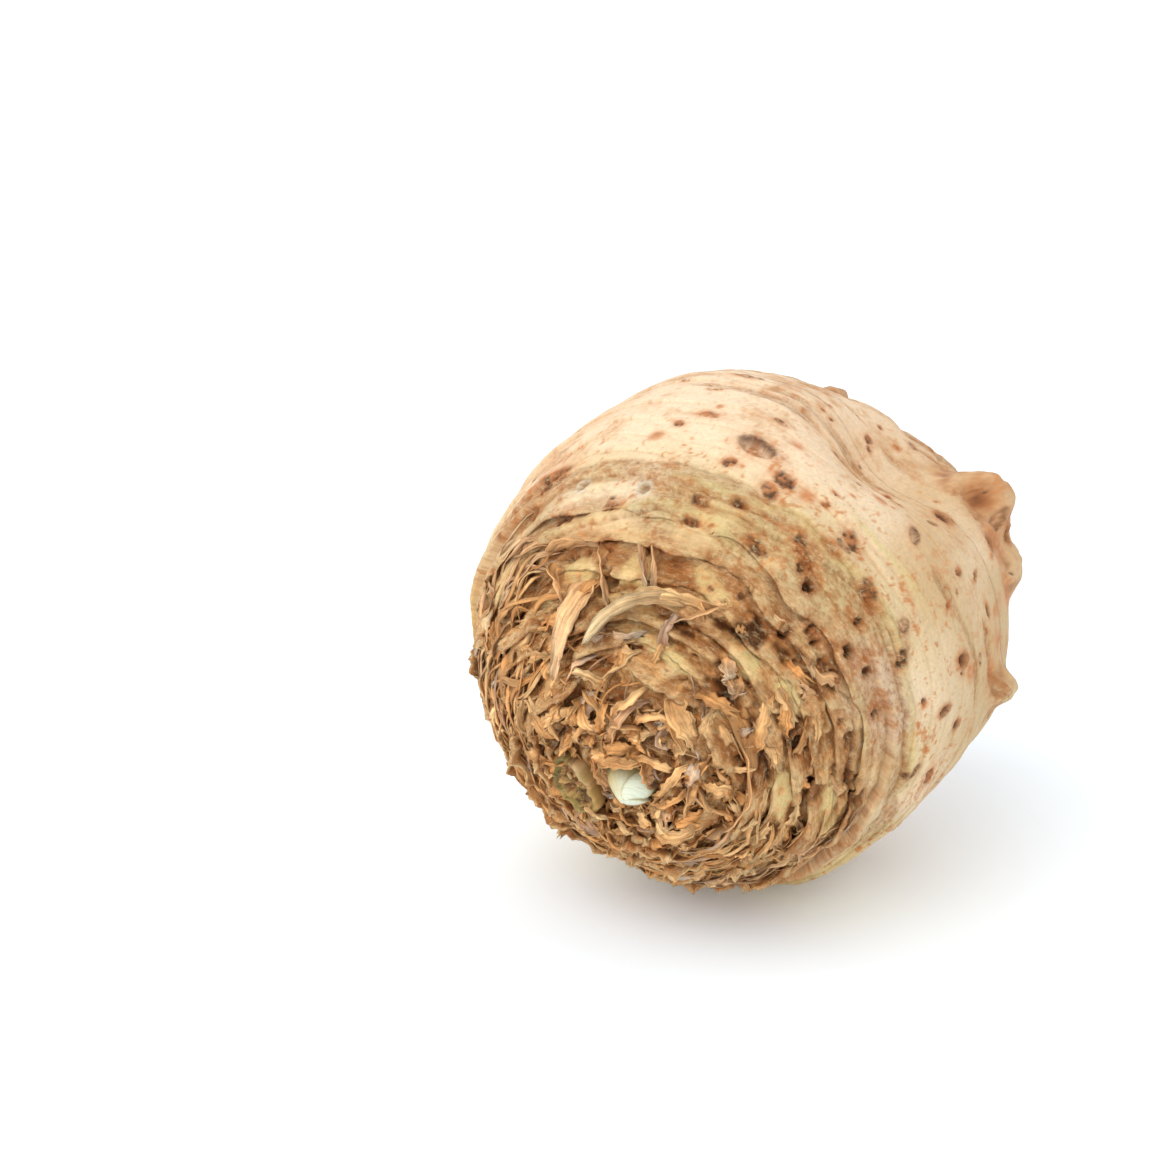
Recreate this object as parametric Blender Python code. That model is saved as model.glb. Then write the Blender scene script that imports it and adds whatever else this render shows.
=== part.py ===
"""A whole celeriac root lying on its side.

The corm is one grown body: smooth ringed skin, root scars and stubs, and torn husks
round the crown.  The leaf bud and the cut leaf stalk stand in pockets at the crown.
Metres, +Z up, +X from the crown to the root end.
"""

import math

import bmesh
import bpy
import numpy as np

# Overall form of the corm
SEMI_AXES = (0.0605, 0.0575, 0.0575)
BELLY_CUT = 0.00125
HEART = (-0.00026, -0.0006, SEMI_AXES[2] - BELLY_CUT)
CROWN_AZIMUTH = -167.0
CROWN_ELEVATION = -13.8

# Broad lobes: azimuth, elevation, angular width in degrees, height in metres
LOBES = (
    (-8.0, 0.0, 40.0, 0.0040),
    (-46.0, 26.0, 11.0, 0.0036),
    (-34.0, 16.0, 17.0, 0.0032),
    (-62.0, 50.0, 17.0, -0.0076),
    (-76.0, 60.0, 16.0, -0.0036),
    (-60.0, -11.0, 8.0, 0.0016),
    (138.0, 2.0, 30.0, 0.0008),
    (172.0, -38.0, 26.0, -0.0018),
    (60.0, 60.0, 30.0, 0.0015),
    (20.0, -48.0, 20.0, -0.0016),
    (95.0, 8.0, 18.0, 0.0014),
    (-167.0, -13.8, 13.0, -0.0026),
    (-76.0, -36.0, 20.0, -0.0026),
)
LUMP_HEIGHT = 0.0008
LUMP_SIZE = 0.016
HUSK_SINK = 0.0021
HUSK_SINK_ANGLE = 40.0
HUSK_SINK_WIDTH = 24.0

# Leaf rings round the crown, as angles from it
COLUMNS = 48
RING_FIRST = 9.5
RING_GAP = 4.3
RING_GAP_GROWTH = 0.15
RING_COUNT = 17
RING_UNEVEN = 0.2
HUSK_END = 58.0
ROOT_ROWS = 11
RING_TILT = 8.5
RING_TILT_TURN = -20.0
GOLDEN_TURN = 137.5

# Height of a ring's lip at each angle from the crown
LIP_ANGLES = (0.0, 14.0, 24.0, 46.0, 58.0, 70.0, 90.0, 112.0)
LIP_HEIGHTS = (0.0010, 0.0022, 0.0036, 0.0034, 0.0020, 0.0009, 0.0005, 0.0003)
LIP_LEAN = 400.0
LEAN_SHARE = 0.34
LIP_BASE = 0.55
LIP_LEAF = 0.42
LIP_PATCHY = 0.75
LIP_RAGGED = 0.40
LIP_CALM = 0.3
LIP_PATCH = 0.34
LIP_LEAST = 0.12
LIP_MOST = 1.1
LIP_KEEP = 0.3

# Section of a ring, as shares of the gap to the next and of the lip's height
RING_UNDER = 0.14
RING_DIP = 0.30
RING_BACK = 0.36
RING_BACK_HEIGHT = 0.66
RING_CREST = 0.12

# Torn husk blades
BLADE_THICKNESS = 0.0009
BLADE_STATIONS = 5
HUSK_SEED = 7

# Torn edges that stand along the rings; pairs are the least and the most
HUSK_ARCS = 15
ARC_ANGLES = (13.0, 56.0)
ARC_SCATTER = 12.0
ARC_LENGTHS = (0.012, 0.024)
ARC_DRIFT = 5.0
ARC_WIDTHS = (0.0042, 0.0056)
ARC_SUNK = 0.0010
ARC_LOWERED = 0.0012
ARC_TWISTS = (48.0, 80.0)
ARC_TURNING = 12.0

# Strips that curl off the rings towards the crown
HUSK_TONGUES = 17
TONGUE_ANGLES = (17.0, 57.0)
TONGUE_TURN = 61.0
TONGUE_SCATTER = 15.0
TONGUE_REACHES = (6.0, 12.0)
TONGUE_SWING = 16.0
TONGUE_SUNK = 0.0016
TONGUE_RISES = (0.0042, 0.0062)
TONGUE_BENDS = (1.5, 2.3)
TONGUE_WIDTHS = (0.0024, 0.0038)
TONGUE_LIE = 25.0
TONGUE_TWIST = 50.0

# Upright walls over the crown: angles at their ends, turns at their ends
WALLS = (
    (50.5, 37.5, -13.6, -10.5),
    (52.0, 40.0, -2.3, 3.5),
    (50.0, 38.0, -31.0, -27.0),
)
WALL_WIDTH = 0.0044

# Root scars: angle from the crown, turn, length, width, depth, slant
ROOT_SCARS = (
    (81.2, 13.4, 0.0095, 0.0052, 0.0020, 80.0),
    (58.5, 41.3, 0.0034, 0.0032, 0.0030, 0.0),
    (99.8, 28.3, 0.0040, 0.0026, 0.0018, 70.0),
    (55.6, 59.8, 0.0034, 0.0028, 0.0026, 60.0),
    (82.8, 81.5, 0.0038, 0.0032, 0.0026, 0.0),
    (73.4, 88.6, 0.0034, 0.0024, 0.0026, 10.0),
    (48.1, 44.5, 0.0040, 0.0026, 0.0022, 20.0),
    (89.2, 52.5, 0.0054, 0.0032, 0.0012, 20.0),
    (56.3, 78.4, 0.0048, 0.0036, 0.0012, 10.0),
    (109.2, -2.0, 0.0050, 0.0018, 0.0014, 85.0),
    (74.0, -112.0, 0.0042, 0.0034, 0.0024, 20.0),
    (104.0, -128.0, 0.0050, 0.0030, 0.0018, 60.0),
    (86.0, 138.0, 0.0044, 0.0034, 0.0022, 30.0),
    (118.0, -48.0, 0.0046, 0.0032, 0.0020, 40.0),
    (115.6, 60.5, 0.0090, 0.0052, 0.0016, 60.0),
)
SCAR_SIDES = 7
SCAR_REACH = 0.004
SCAR_FLOOR_SHARE = 0.55

# Root stubs: angle from the crown, turn, length, base radius, lean
ROOT_STUBS = (
    (122.5, 64.0, 0.0052, 0.0086, 0.00),
    (119.5, 82.0, 0.0032, 0.0074, 0.00),
    (99.5, 99.5, 0.0040, 0.0060, 0.10),
    (139.0, 12.0, 0.0030, 0.0046, 0.40),
    (146.0, 92.0, 0.0046, 0.0056, -0.30),
    (158.0, 20.0, 0.0042, 0.0064, 0.30),
    (151.0, -48.0, 0.0034, 0.0044, 0.45),
    (169.0, -140.0, 0.0050, 0.0070, -0.25),
    (140.0, -104.0, 0.0032, 0.0050, 0.40),
    (132.0, 128.0, 0.0026, 0.0042, -0.45),
    (147.0, 168.0, 0.0030, 0.0046, 0.40),
    (124.0, -70.0, 0.0022, 0.0036, 0.50),
    (174.0, 50.0, 0.0040, 0.0048, 0.60),
)
STUB_SIDES = 9
STUB_SUNK_SHARE = 0.75
STUB_PROFILE = ((-1.0, 1.15), (0.40, 0.84), (0.86, 0.52))

# Leaf bud
BUD_TURN = 129.0
BUD_ANGLE = 1.8
BUD_RADIUS = 0.0043
BUD_RISE = 0.0050
BUD_SUNK = 0.0036
BUD_ROWS = 14
BUD_COLUMNS = 21
BUD_SHEATHS = 3
BUD_SHEATH_STEP = 0.15
BUD_POINT = 0.0009

# Cut leaf stalk
STALK_TURN = -111.0
STALK_ANGLE = 12.6
STALK_LENGTH = 0.0150
STALK_WIDTH = 0.0104
STALK_RISE = 0.0024
STALK_SUNK = 0.0030
STALK_RIM = 0.0013
STALK_PITH_DEPTH = 0.0013
STALK_COLUMNS = 24

SEAT_GAP = 0.00035
SEAT_CLEAR = 0.008
FLAT_ANGLE = math.radians(0.6)

# Colours, roughness
SKIN_COLOUR = (0.60, 0.42, 0.24, 1.0)
SKIN_ROUGHNESS = 0.72
BUD_COLOUR = (0.70, 0.74, 0.52, 1.0)
BUD_ROUGHNESS = 0.45
STALK_COLOUR = (0.40, 0.34, 0.10, 1.0)
STALK_ROUGHNESS = 0.65


def unit(azimuth, elevation):
    """Direction for an azimuth and elevation in degrees."""
    a = math.radians(azimuth)
    e = math.radians(elevation)
    return np.array([math.cos(a) * math.cos(e), math.sin(a) * math.cos(e), math.sin(e)])


CROWN = unit(CROWN_AZIMUTH, CROWN_ELEVATION)
ACROSS = np.array([0.0, 0.0, 1.0]) - CROWN[2] * CROWN
ACROSS /= np.linalg.norm(ACROSS)
SIDEWAYS = np.cross(ACROSS, CROWN)


def direction(angle, turn):
    """Directions from the heart, by the angle from the crown and the turn about it."""
    a = np.radians(np.asarray(angle, float))
    t = np.radians(np.asarray(turn, float))
    out = np.cos(a)[..., None] * CROWN
    out = out + (np.sin(a) * np.cos(t))[..., None] * ACROSS
    return out + (np.sin(a) * np.sin(t))[..., None] * SIDEWAYS


def hashed(cells, seed):
    """Repeatable values from 0 to 1 for whole-number cells."""
    c = np.asarray(cells).astype(np.int64)
    n = (c[..., 0] * 73856 + c[..., 1] * 19349 + c[..., 2] * 83492 + seed * 26544) & 0x7FFFFFFF
    n = ((n ^ (n >> 13)) * 60493) & 0x7FFFFFFF
    n = ((n ^ (n >> 15)) * 41117) & 0x7FFFFFFF
    return (n ^ (n >> 14)) / 2147483647.0


def smooth_noise(points, size, seed):
    """Smooth values from -1 to 1 that vary over the given size."""
    p = np.asarray(points, float) / size
    cell = np.floor(p).astype(np.int64)
    f = p - cell
    f = f * f * (3.0 - 2.0 * f)
    total = np.zeros(p.shape[:-1])
    for i in (0, 1):
        for j in (0, 1):
            for k in (0, 1):
                weight = (f[..., 0] if i else 1 - f[..., 0]) * (f[..., 1] if j else 1 - f[..., 1])
                weight = weight * (f[..., 2] if k else 1 - f[..., 2])
                total += weight * hashed(cell + np.array([i, j, k]), seed)
    return total * 2.0 - 1.0


def form_radius(u):
    """Distance from the heart to the plain surface along unit directions."""
    r = 1.0 / np.sqrt(((u / np.array(SEMI_AXES)) ** 2).sum(-1))
    for azimuth, elevation, width, height in LOBES:
        away = np.degrees(np.arccos(np.clip(u @ unit(azimuth, elevation), -1.0, 1.0)))
        r = r + height * np.exp(-((away / width) ** 2))
    angle = np.degrees(np.arccos(np.clip(u @ CROWN, -1.0, 1.0)))
    r = r - HUSK_SINK * np.exp(-(((angle - HUSK_SINK_ANGLE) / HUSK_SINK_WIDTH) ** 2))
    return r + LUMP_HEIGHT * smooth_noise(u * SEMI_AXES[0], LUMP_SIZE, 3)


def ring_angle(angle, turn):
    """Angle from the crown once the rings are tilted and waved."""
    t = np.radians(turn)
    a = np.radians(angle)
    tilt = RING_TILT * np.sin(a) ** 1.5 * np.cos(t - math.radians(RING_TILT_TURN))
    wave = np.sin(a) * (0.8 * np.sin(3.0 * t + 3.0 * a) + 0.5 * np.sin(7.0 * t + 9.0 * a))
    return angle + tilt + wave


def surface(angle, turn, height=0.0):
    """Points at a height over the plain surface."""
    u = direction(angle, turn)
    return np.array(HEART) + (form_radius(u) + height)[..., None] * u


def lip_height(index, angle, turns):
    """Height of one leaf ring's torn lip round its turn."""
    full = np.interp(angle, LIP_ANGLES, LIP_HEIGHTS)
    count = 2 + index % 2
    phase = np.radians(turns - GOLDEN_TURN * index)
    leaf = 0.5 + 0.5 * np.cos(count * phase)
    patch = smooth_noise(direction(angle * np.ones(turns.size), turns), LIP_PATCH, 20 + index)
    share = np.clip(LIP_LEAF * leaf + LIP_BASE + LIP_PATCHY * patch, LIP_LEAST, LIP_MOST)
    column = np.arange(turns.size)
    tear = hashed(np.stack([column, np.full(turns.size, index), 0 * column], -1), 11)
    ragged = 1.0 + LIP_RAGGED * (2.0 * tear - 1.0) * (1.0 if angle < HUSK_END else LIP_CALM)
    return full * share * ragged


def ring_rows(turns):
    """Rows of angle and height, from the crown to the root end."""
    rows = []
    angle = RING_FIRST
    gap = RING_GAP
    step = RING_GAP
    last = np.zeros(turns.size)
    for index in range(RING_COUNT):
        height = np.maximum(lip_height(index, angle, turns), LIP_KEEP * last)
        last = height
        if angle < HUSK_END:
            lean = np.minimum(LIP_LEAN * height, LEAN_SHARE * step)
            rows.append((angle + RING_UNDER * gap, -RING_DIP * height))
            rows.append((angle - lean, height))
            rows.append((angle + RING_BACK * gap, RING_BACK_HEIGHT * height))
        else:
            rows.append((angle, -RING_DIP * height))
            rows.append((angle + RING_CREST * gap, height))
        step = gap * (1.0 + RING_UNEVEN * (2.0 * hashed(np.array([index, 3, 5]), 2) - 1.0))
        angle += step
        gap += RING_GAP_GROWTH
    for share in np.linspace(0.0, 1.0, ROOT_ROWS + 1)[:-1]:
        rows.append((angle + share * (180.0 - angle), np.zeros(turns.size)))
    return rows


def closed_grid(name, rows, first, last):
    """Closed mesh from rings of points with a point at each end."""
    bm = bmesh.new()
    rings = [[bm.verts.new(p) for p in row] for row in rows]
    start = bm.verts.new(first)
    end = bm.verts.new(last)
    count = len(rings[0])
    for i in range(count):
        j = (i + 1) % count
        bm.faces.new((start, rings[0][i], rings[0][j]))
        bm.faces.new((end, rings[-1][j], rings[-1][i]))
        for near, far in zip(rings, rings[1:]):
            bm.faces.new((near[i], far[i], far[j], near[j]))
    return finished(name, bm)


def finished(name, bm):
    """Object in the scene from a mesh, faces turned outwards."""
    bmesh.ops.recalc_face_normals(bm, faces=bm.faces)
    bmesh.ops.triangulate(bm, faces=bm.faces)
    mesh = bpy.data.meshes.new(name)
    bm.to_mesh(mesh)
    bm.free()
    item = bpy.data.objects.new(name, mesh)
    bpy.context.scene.collection.objects.link(item)
    return item


def ringed_body():
    """Corm skin with stepped leaf rings."""
    turns = np.arange(COLUMNS) * 360.0 / COLUMNS - 180.0
    rows = []
    for angle, height in ring_rows(turns):
        angles = ring_angle(angle * np.ones(COLUMNS), turns)
        rows.append(surface(angles, turns, height))
    crown = surface(0.0, 0.0)
    root = surface(180.0, 0.0)
    return closed_grid("corm", rows, crown, root)


def ribbon(name, angles, turns, heights, widths, twists):
    """Bent strip over the surface; the twist turns its width from lying to standing."""
    centre = surface(np.asarray(angles), np.asarray(turns), np.asarray(heights))
    normal = direction(np.asarray(angles), np.asarray(turns))
    along = np.gradient(centre, axis=0)
    along /= np.linalg.norm(along, axis=1)[:, None]
    side = np.cross(along, normal)
    side /= np.linalg.norm(side, axis=1)[:, None]
    rise = np.cross(side, along)
    t = np.radians(np.asarray(twists))[:, None]
    wide = np.cos(t) * side + np.sin(t) * rise
    thick = np.cos(t) * rise - np.sin(t) * side
    w = np.asarray(widths)[:, None] * 0.5
    h = BLADE_THICKNESS * 0.5
    corners = [centre + w * wide + h * thick, centre - w * wide + h * thick]
    corners += [centre - w * wide - h * thick, centre + w * wide - h * thick]
    bm = bmesh.new()
    rings = [[bm.verts.new(c[i]) for c in corners] for i in range(len(centre))]
    for near, far in zip(rings, rings[1:]):
        for a in range(4):
            b = (a + 1) % 4
            bm.faces.new((near[a], far[a], far[b], near[b]))
    bm.faces.new(rings[0])
    bm.faces.new(rings[-1][::-1])
    return finished(name, bm)


def bowed(low, high):
    """Values that start low, rise to high in the middle and come back."""
    return low + (high - low) * np.sin(np.linspace(0.0, math.pi, BLADE_STATIONS))


def husk_arcs(pick):
    """Torn leaf edges standing along the rings."""
    first, last = ARC_ANGLES
    items = []
    for index in range(HUSK_ARCS):
        angle = first + (last - first) * ((index + 0.5) / HUSK_ARCS)
        middle = GOLDEN_TURN * index + pick.uniform(-ARC_SCATTER, ARC_SCATTER)
        half = 0.5 * pick.uniform(*ARC_LENGTHS) / (SEMI_AXES[1] * math.sin(math.radians(angle)))
        turns = middle + np.degrees(np.linspace(-half, half, BLADE_STATIONS))
        drift = np.linspace(0.0, pick.uniform(-ARC_DRIFT, ARC_DRIFT), BLADE_STATIONS)
        angles = ring_angle(angle + drift, turns)
        width = pick.uniform(*ARC_WIDTHS)
        heights = bowed(-ARC_SUNK, 0.5 * width - ARC_LOWERED)
        twist = pick.uniform(*ARC_TWISTS) + np.linspace(-ARC_TURNING, ARC_TURNING, BLADE_STATIONS)
        items.append(("husk", angles, turns, heights, np.full(BLADE_STATIONS, width), twist))
    return items


def husk_tongues(pick):
    """Loose fibre strips that curl off the rings towards the crown."""
    first, last = TONGUE_ANGLES
    share = np.linspace(0.0, 1.0, BLADE_STATIONS)
    items = []
    for index in range(HUSK_TONGUES):
        angle = first + (last - first) * math.sqrt((index + 0.5) / HUSK_TONGUES)
        turn = GOLDEN_TURN * index + TONGUE_TURN + pick.uniform(-TONGUE_SCATTER, TONGUE_SCATTER)
        reach = pick.uniform(*TONGUE_REACHES)
        swing = pick.uniform(-TONGUE_SWING, TONGUE_SWING)
        swing /= max(0.35, math.sin(math.radians(angle)))
        angles = ring_angle(angle - reach * share, turn + swing * share)
        rise = pick.uniform(*TONGUE_RISES)
        heights = -TONGUE_SUNK + rise * np.sin(share * pick.uniform(*TONGUE_BENDS))
        widths = pick.uniform(*TONGUE_WIDTHS) * (1.0 - 0.5 * share)
        lie = pick.uniform(-TONGUE_LIE, TONGUE_LIE)
        twists = lie + pick.uniform(-TONGUE_TWIST, TONGUE_TWIST) * share
        items.append(("tongue", angles, turn + swing * share, heights, widths, twists))
    return items


def named_husks():
    """The strips that stand out most in front of the crown."""
    share = np.linspace(0.0, 1.0, BLADE_STATIONS)
    even = np.ones(BLADE_STATIONS)
    strip = (
        "strip",
        np.interp(share, (0.0, 0.5, 1.0), (42.5, 40.0, 29.5)),
        np.interp(share, (0.0, 0.5, 1.0), (19.0, 3.0, -15.0)),
        np.interp(share, (0.0, 0.2, 0.6, 1.0), (-0.0012, 0.0022, 0.0040, 0.0026)),
        np.interp(share, (0.0, 0.6, 1.0), (0.0026, 0.0044, 0.0036)),
        np.interp(share, (0.0, 1.0), (10.0, -35.0)),
    )
    tongue = (
        "tongue",
        42.0 - 16.5 * share,
        -16.5 - 18.0 * share,
        np.interp(share, (0.0, 0.3, 1.0), (-0.0012, 0.0028, 0.0034)),
        np.interp(share, (0.0, 0.5, 1.0), (0.0052, 0.0044, 0.0022)),
        np.interp(share, (0.0, 1.0), (-8.0, 22.0)),
    )
    walls = []
    for start, end, first, last in WALLS:
        walls.append((
            "wall",
            start + (end - start) * share,
            first + (last - first) * share,
            bowed(-0.0006, 0.0012),
            WALL_WIDTH * even,
            np.interp(share, (0.0, 1.0), (70.0, 110.0)),
        ))
    ridge = (
        "ridge",
        28.5 - 6.0 * share,
        58.0 + 70.0 * share,
        bowed(-0.0004, 0.0014),
        0.0052 * even,
        np.interp(share, (0.0, 1.0), (62.0, 78.0)),
    )
    spike = (
        "spike",
        47.0 - 1.0 * share,
        -98.0 - 9.0 * share,
        -0.0012 + 0.0058 * share,
        0.0032 - 0.0018 * share,
        20.0 * even,
    )
    return [strip, tongue, ridge, spike] + walls


def local_frame(angle, turn):
    """Surface point with its outward, crownward and side directions."""
    u = direction(angle, turn)
    base = surface(angle, turn)
    toward = CROWN - (CROWN @ u) * u
    toward /= np.linalg.norm(toward)
    return base, u, toward, np.cross(u, toward)


def root_scar(angle, turn, length, width, depth, slant):
    """Cutter for one root scar: a tapered oval cup."""
    base, u, toward, side = local_frame(angle, turn)
    s = math.radians(slant)
    major = math.cos(s) * toward + math.sin(s) * side
    minor = math.cos(s) * side - math.sin(s) * toward
    rows = []
    for height, share in ((-depth, SCAR_FLOOR_SHARE), (0.0, 1.0), (SCAR_REACH, 1.25)):
        around = np.arange(SCAR_SIDES) * 2.0 * math.pi / SCAR_SIDES
        row = base + height * u
        row = row + 0.5 * share * length * np.cos(around)[:, None] * major
        row = row + 0.5 * share * width * np.sin(around)[:, None] * minor
        rows.append(row)
    return closed_grid("scar", rows, base - 1.12 * depth * u, base + SCAR_REACH * u)


def root_stub(index, angle, turn, length, radius, lean):
    """Low rounded knob left where a root was trimmed."""
    base, u, toward, side = local_frame(angle, turn)
    sunk = STUB_SUNK_SHARE * radius
    rows = []
    for height, share in STUB_PROFILE:
        height = height * (length if height > 0.0 else sunk)
        around = np.arange(STUB_SIDES) * 2.0 * math.pi / STUB_SIDES + index
        rough = 1.0 + 0.14 * np.sin(2.0 * around + index) + 0.10 * np.sin(3.0 * around + 2.0 * index)
        shift = lean * max(height, 0.0) * (toward * math.cos(index) + side * math.sin(index))
        row = base + height * u + shift
        row = row + (radius * share * rough * np.cos(around))[:, None] * toward
        row = row + (radius * share * rough * np.sin(around))[:, None] * side
        rows.append(row)
    top = base + length * u + lean * length * (toward * math.cos(index) + side * math.sin(index))
    return closed_grid("stub", rows, base - 1.1 * sunk * u, top)


def bud_points(grow, sheaths):
    """Rings of the bud from its tip to its foot."""
    base, u, toward, side = local_frame(BUD_ANGLE, BUD_TURN)
    around = np.arange(BUD_COLUMNS) * 2.0 * math.pi / BUD_COLUMNS
    rows = []
    for b in np.linspace(0.0, math.pi, BUD_ROWS + 2)[1:-1]:
        tall = (BUD_RISE if b < math.pi / 2 else BUD_SUNK) + grow
        spin = BUD_SHEATHS * (around + 0.9 * b) / (2.0 * math.pi)
        fold = BUD_SHEATH_STEP * (spin - np.floor(spin)) if sheaths else BUD_SHEATH_STEP
        reach = (BUD_RADIUS * (1.0 - BUD_SHEATH_STEP + fold) + grow) * math.sin(b) ** 0.85
        point = BUD_POINT * math.exp(-((b / 0.45) ** 2))
        row = base + (tall * math.cos(b) + point) * u
        row = row + (reach * np.cos(around) * np.ones(BUD_COLUMNS))[:, None] * toward
        row = row + (1.08 * reach * np.sin(around) * np.ones(BUD_COLUMNS))[:, None] * side
        rows.append(row)
    tip = base + (BUD_RISE + grow + BUD_POINT) * u
    foot = base - (BUD_SUNK + grow) * u
    return rows, tip, foot


def leaf_bud():
    """Pale bud of wrapped young leaves."""
    rows, tip, foot = bud_points(0.0, True)
    return closed_grid("leaf_bud", rows, tip, foot)


def stalk_outline(around, inset):
    """Outline of the cut stalk: round outside, flatter towards the bud."""
    along = (0.5 * STALK_LENGTH - inset) * np.cos(around)
    across = np.where(np.sin(around) > 0.0, 0.36, 0.64) * STALK_WIDTH - inset
    return along, across * np.sin(around)


def stalk_rows(levels):
    """Rings of the stalk for pairs of inset and height."""
    base, u, toward, side = local_frame(STALK_ANGLE, STALK_TURN)
    around = np.arange(STALK_COLUMNS) * 2.0 * math.pi / STALK_COLUMNS
    rows = []
    for inset, height in levels:
        along, across = stalk_outline(around, inset)
        row = base + height * u + along[:, None] * side + across[:, None] * toward
        rows.append(row)
    return rows, base, u


def leaf_stalk_stump():
    """Cut leaf stalk with a raised rim round sunken fibres."""
    floor = STALK_RISE - STALK_PITH_DEPTH
    levels = (
        (0.0014, -STALK_SUNK),
        (0.0006, -0.4 * STALK_SUNK),
        (0.0, 0.6 * STALK_RISE),
        (0.0003, STALK_RISE),
        (STALK_RIM, STALK_RISE - 0.0001),
        (STALK_RIM + 0.0004, floor),
        (0.6 * STALK_RIM + 0.0022, floor + 0.0003),
    )
    rows, base, u = stalk_rows(levels)
    tear = hashed(np.stack([np.arange(STALK_COLUMNS)] * 3, -1), 5) - 0.5
    for index, amount in ((3, 0.0008), (4, 0.0008), (6, 0.0007)):
        rows[index] = rows[index] + (amount * tear)[:, None] * u
    foot = base - 1.08 * STALK_SUNK * u
    return closed_grid("leaf_stalk_stump", rows, foot, base + floor * u)


def seat_cutters():
    """Pockets that hold the bud and the stalk with an even gap."""
    rows, tip, foot = bud_points(SEAT_GAP, False)
    bud = closed_grid("bud_seat", rows, tip, foot)
    levels = (
        (0.0014 - SEAT_GAP, -STALK_SUNK - SEAT_GAP),
        (0.0006 - SEAT_GAP, -0.4 * STALK_SUNK),
        (-SEAT_GAP, 0.6 * STALK_RISE),
        (-SEAT_GAP, STALK_RISE + SEAT_CLEAR),
    )
    rows, base, u = stalk_rows(levels)
    foot = base - (1.08 * STALK_SUNK + SEAT_GAP) * u
    stalk = closed_grid("stalk_seat", rows, foot, base + (STALK_RISE + SEAT_CLEAR) * u)
    return [bud, stalk]


def ground_cutter():
    """Block below the floor that leaves the small flat spot."""
    bm = bmesh.new()
    bmesh.ops.create_cube(bm, size=0.2)
    bmesh.ops.translate(bm, verts=bm.verts, vec=(0.0, 0.0, -0.1))
    return finished("ground", bm)


def combine(target, operands, operation):
    """Fuse or cut a set of bodies and clear them away."""
    group = bpy.data.collections.new("operands")
    bpy.context.scene.collection.children.link(group)
    for item in operands:
        bpy.context.scene.collection.objects.unlink(item)
        group.objects.link(item)
    step = target.modifiers.new(operation.title(), "BOOLEAN")
    step.operation = operation
    step.operand_type = "COLLECTION"
    step.collection = group
    bpy.context.view_layer.update()
    seen = target.evaluated_get(bpy.context.evaluated_depsgraph_get())
    result = bpy.data.meshes.new_from_object(seen)
    target.modifiers.clear()
    target.data = result
    for item in list(group.objects):
        bpy.data.objects.remove(item, do_unlink=True)
    bpy.data.collections.remove(group)


def connected(bm):
    """Vertices in joined groups, largest first."""
    left = set(bm.verts)
    groups = []
    while left:
        front = [left.pop()]
        group = list(front)
        while front:
            for edge in front.pop().link_edges:
                for vert in edge.verts:
                    if vert in left:
                        left.discard(vert)
                        front.append(vert)
                        group.append(vert)
        groups.append(group)
    return sorted(groups, key=len, reverse=True)


def tidy_mesh(item):
    """Drop crumbs that the cuts left loose, and plain faces split for nothing."""
    bm = bmesh.new()
    bm.from_mesh(item.data)
    parts = connected(bm)
    for part in parts[1:]:
        bmesh.ops.delete(bm, geom=part, context="VERTS")
    bmesh.ops.dissolve_limit(bm, angle_limit=FLAT_ANGLE, verts=bm.verts, edges=bm.edges)
    bmesh.ops.triangulate(bm, faces=bm.faces)
    bmesh.ops.recalc_face_normals(bm, faces=bm.faces)
    bm.to_mesh(item.data)
    bm.free()


def corm():
    """The grown body with its husks, stubs, scars and seats."""
    pick = np.random.default_rng(HUSK_SEED)
    body = ringed_body()
    strips = husk_arcs(pick) + husk_tongues(pick) + named_husks()
    grown = [ribbon(*strip) for strip in strips]
    grown += [root_stub(index, *row) for index, row in enumerate(ROOT_STUBS)]
    combine(body, grown, "UNION")
    cuts = [root_scar(*row) for row in ROOT_SCARS]
    combine(body, cuts + seat_cutters() + [ground_cutter()], "DIFFERENCE")
    tidy_mesh(body)
    return body


def dress(item, name, colour, roughness):
    """Give a body its own material and smooth shading."""
    material = bpy.data.materials.new(name)
    material.use_nodes = True
    shader = material.node_tree.nodes["Principled BSDF"]
    shader.inputs["Base Color"].default_value = colour
    shader.inputs["Roughness"].default_value = roughness
    shader.inputs["Metallic"].default_value = 0.0
    item.data.materials.clear()
    item.data.materials.append(material)
    for face in item.data.polygons:
        face.use_smooth = True


def clear_scene():
    """Start from an empty scene."""
    for item in list(bpy.data.objects):
        bpy.data.objects.remove(item, do_unlink=True)


def build():
    """Make the three bodies."""
    clear_scene()
    dress(corm(), "celeriac_skin", SKIN_COLOUR, SKIN_ROUGHNESS)
    dress(leaf_bud(), "young_leaf", BUD_COLOUR, BUD_ROUGHNESS)
    dress(leaf_stalk_stump(), "cut_stalk", STALK_COLOUR, STALK_ROUGHNESS)


build()
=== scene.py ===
"""Looks of the celeriac root: fine skin, husks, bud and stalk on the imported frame."""
import math

import bpy
import numpy as np
from mathutils import Matrix, Vector


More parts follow.
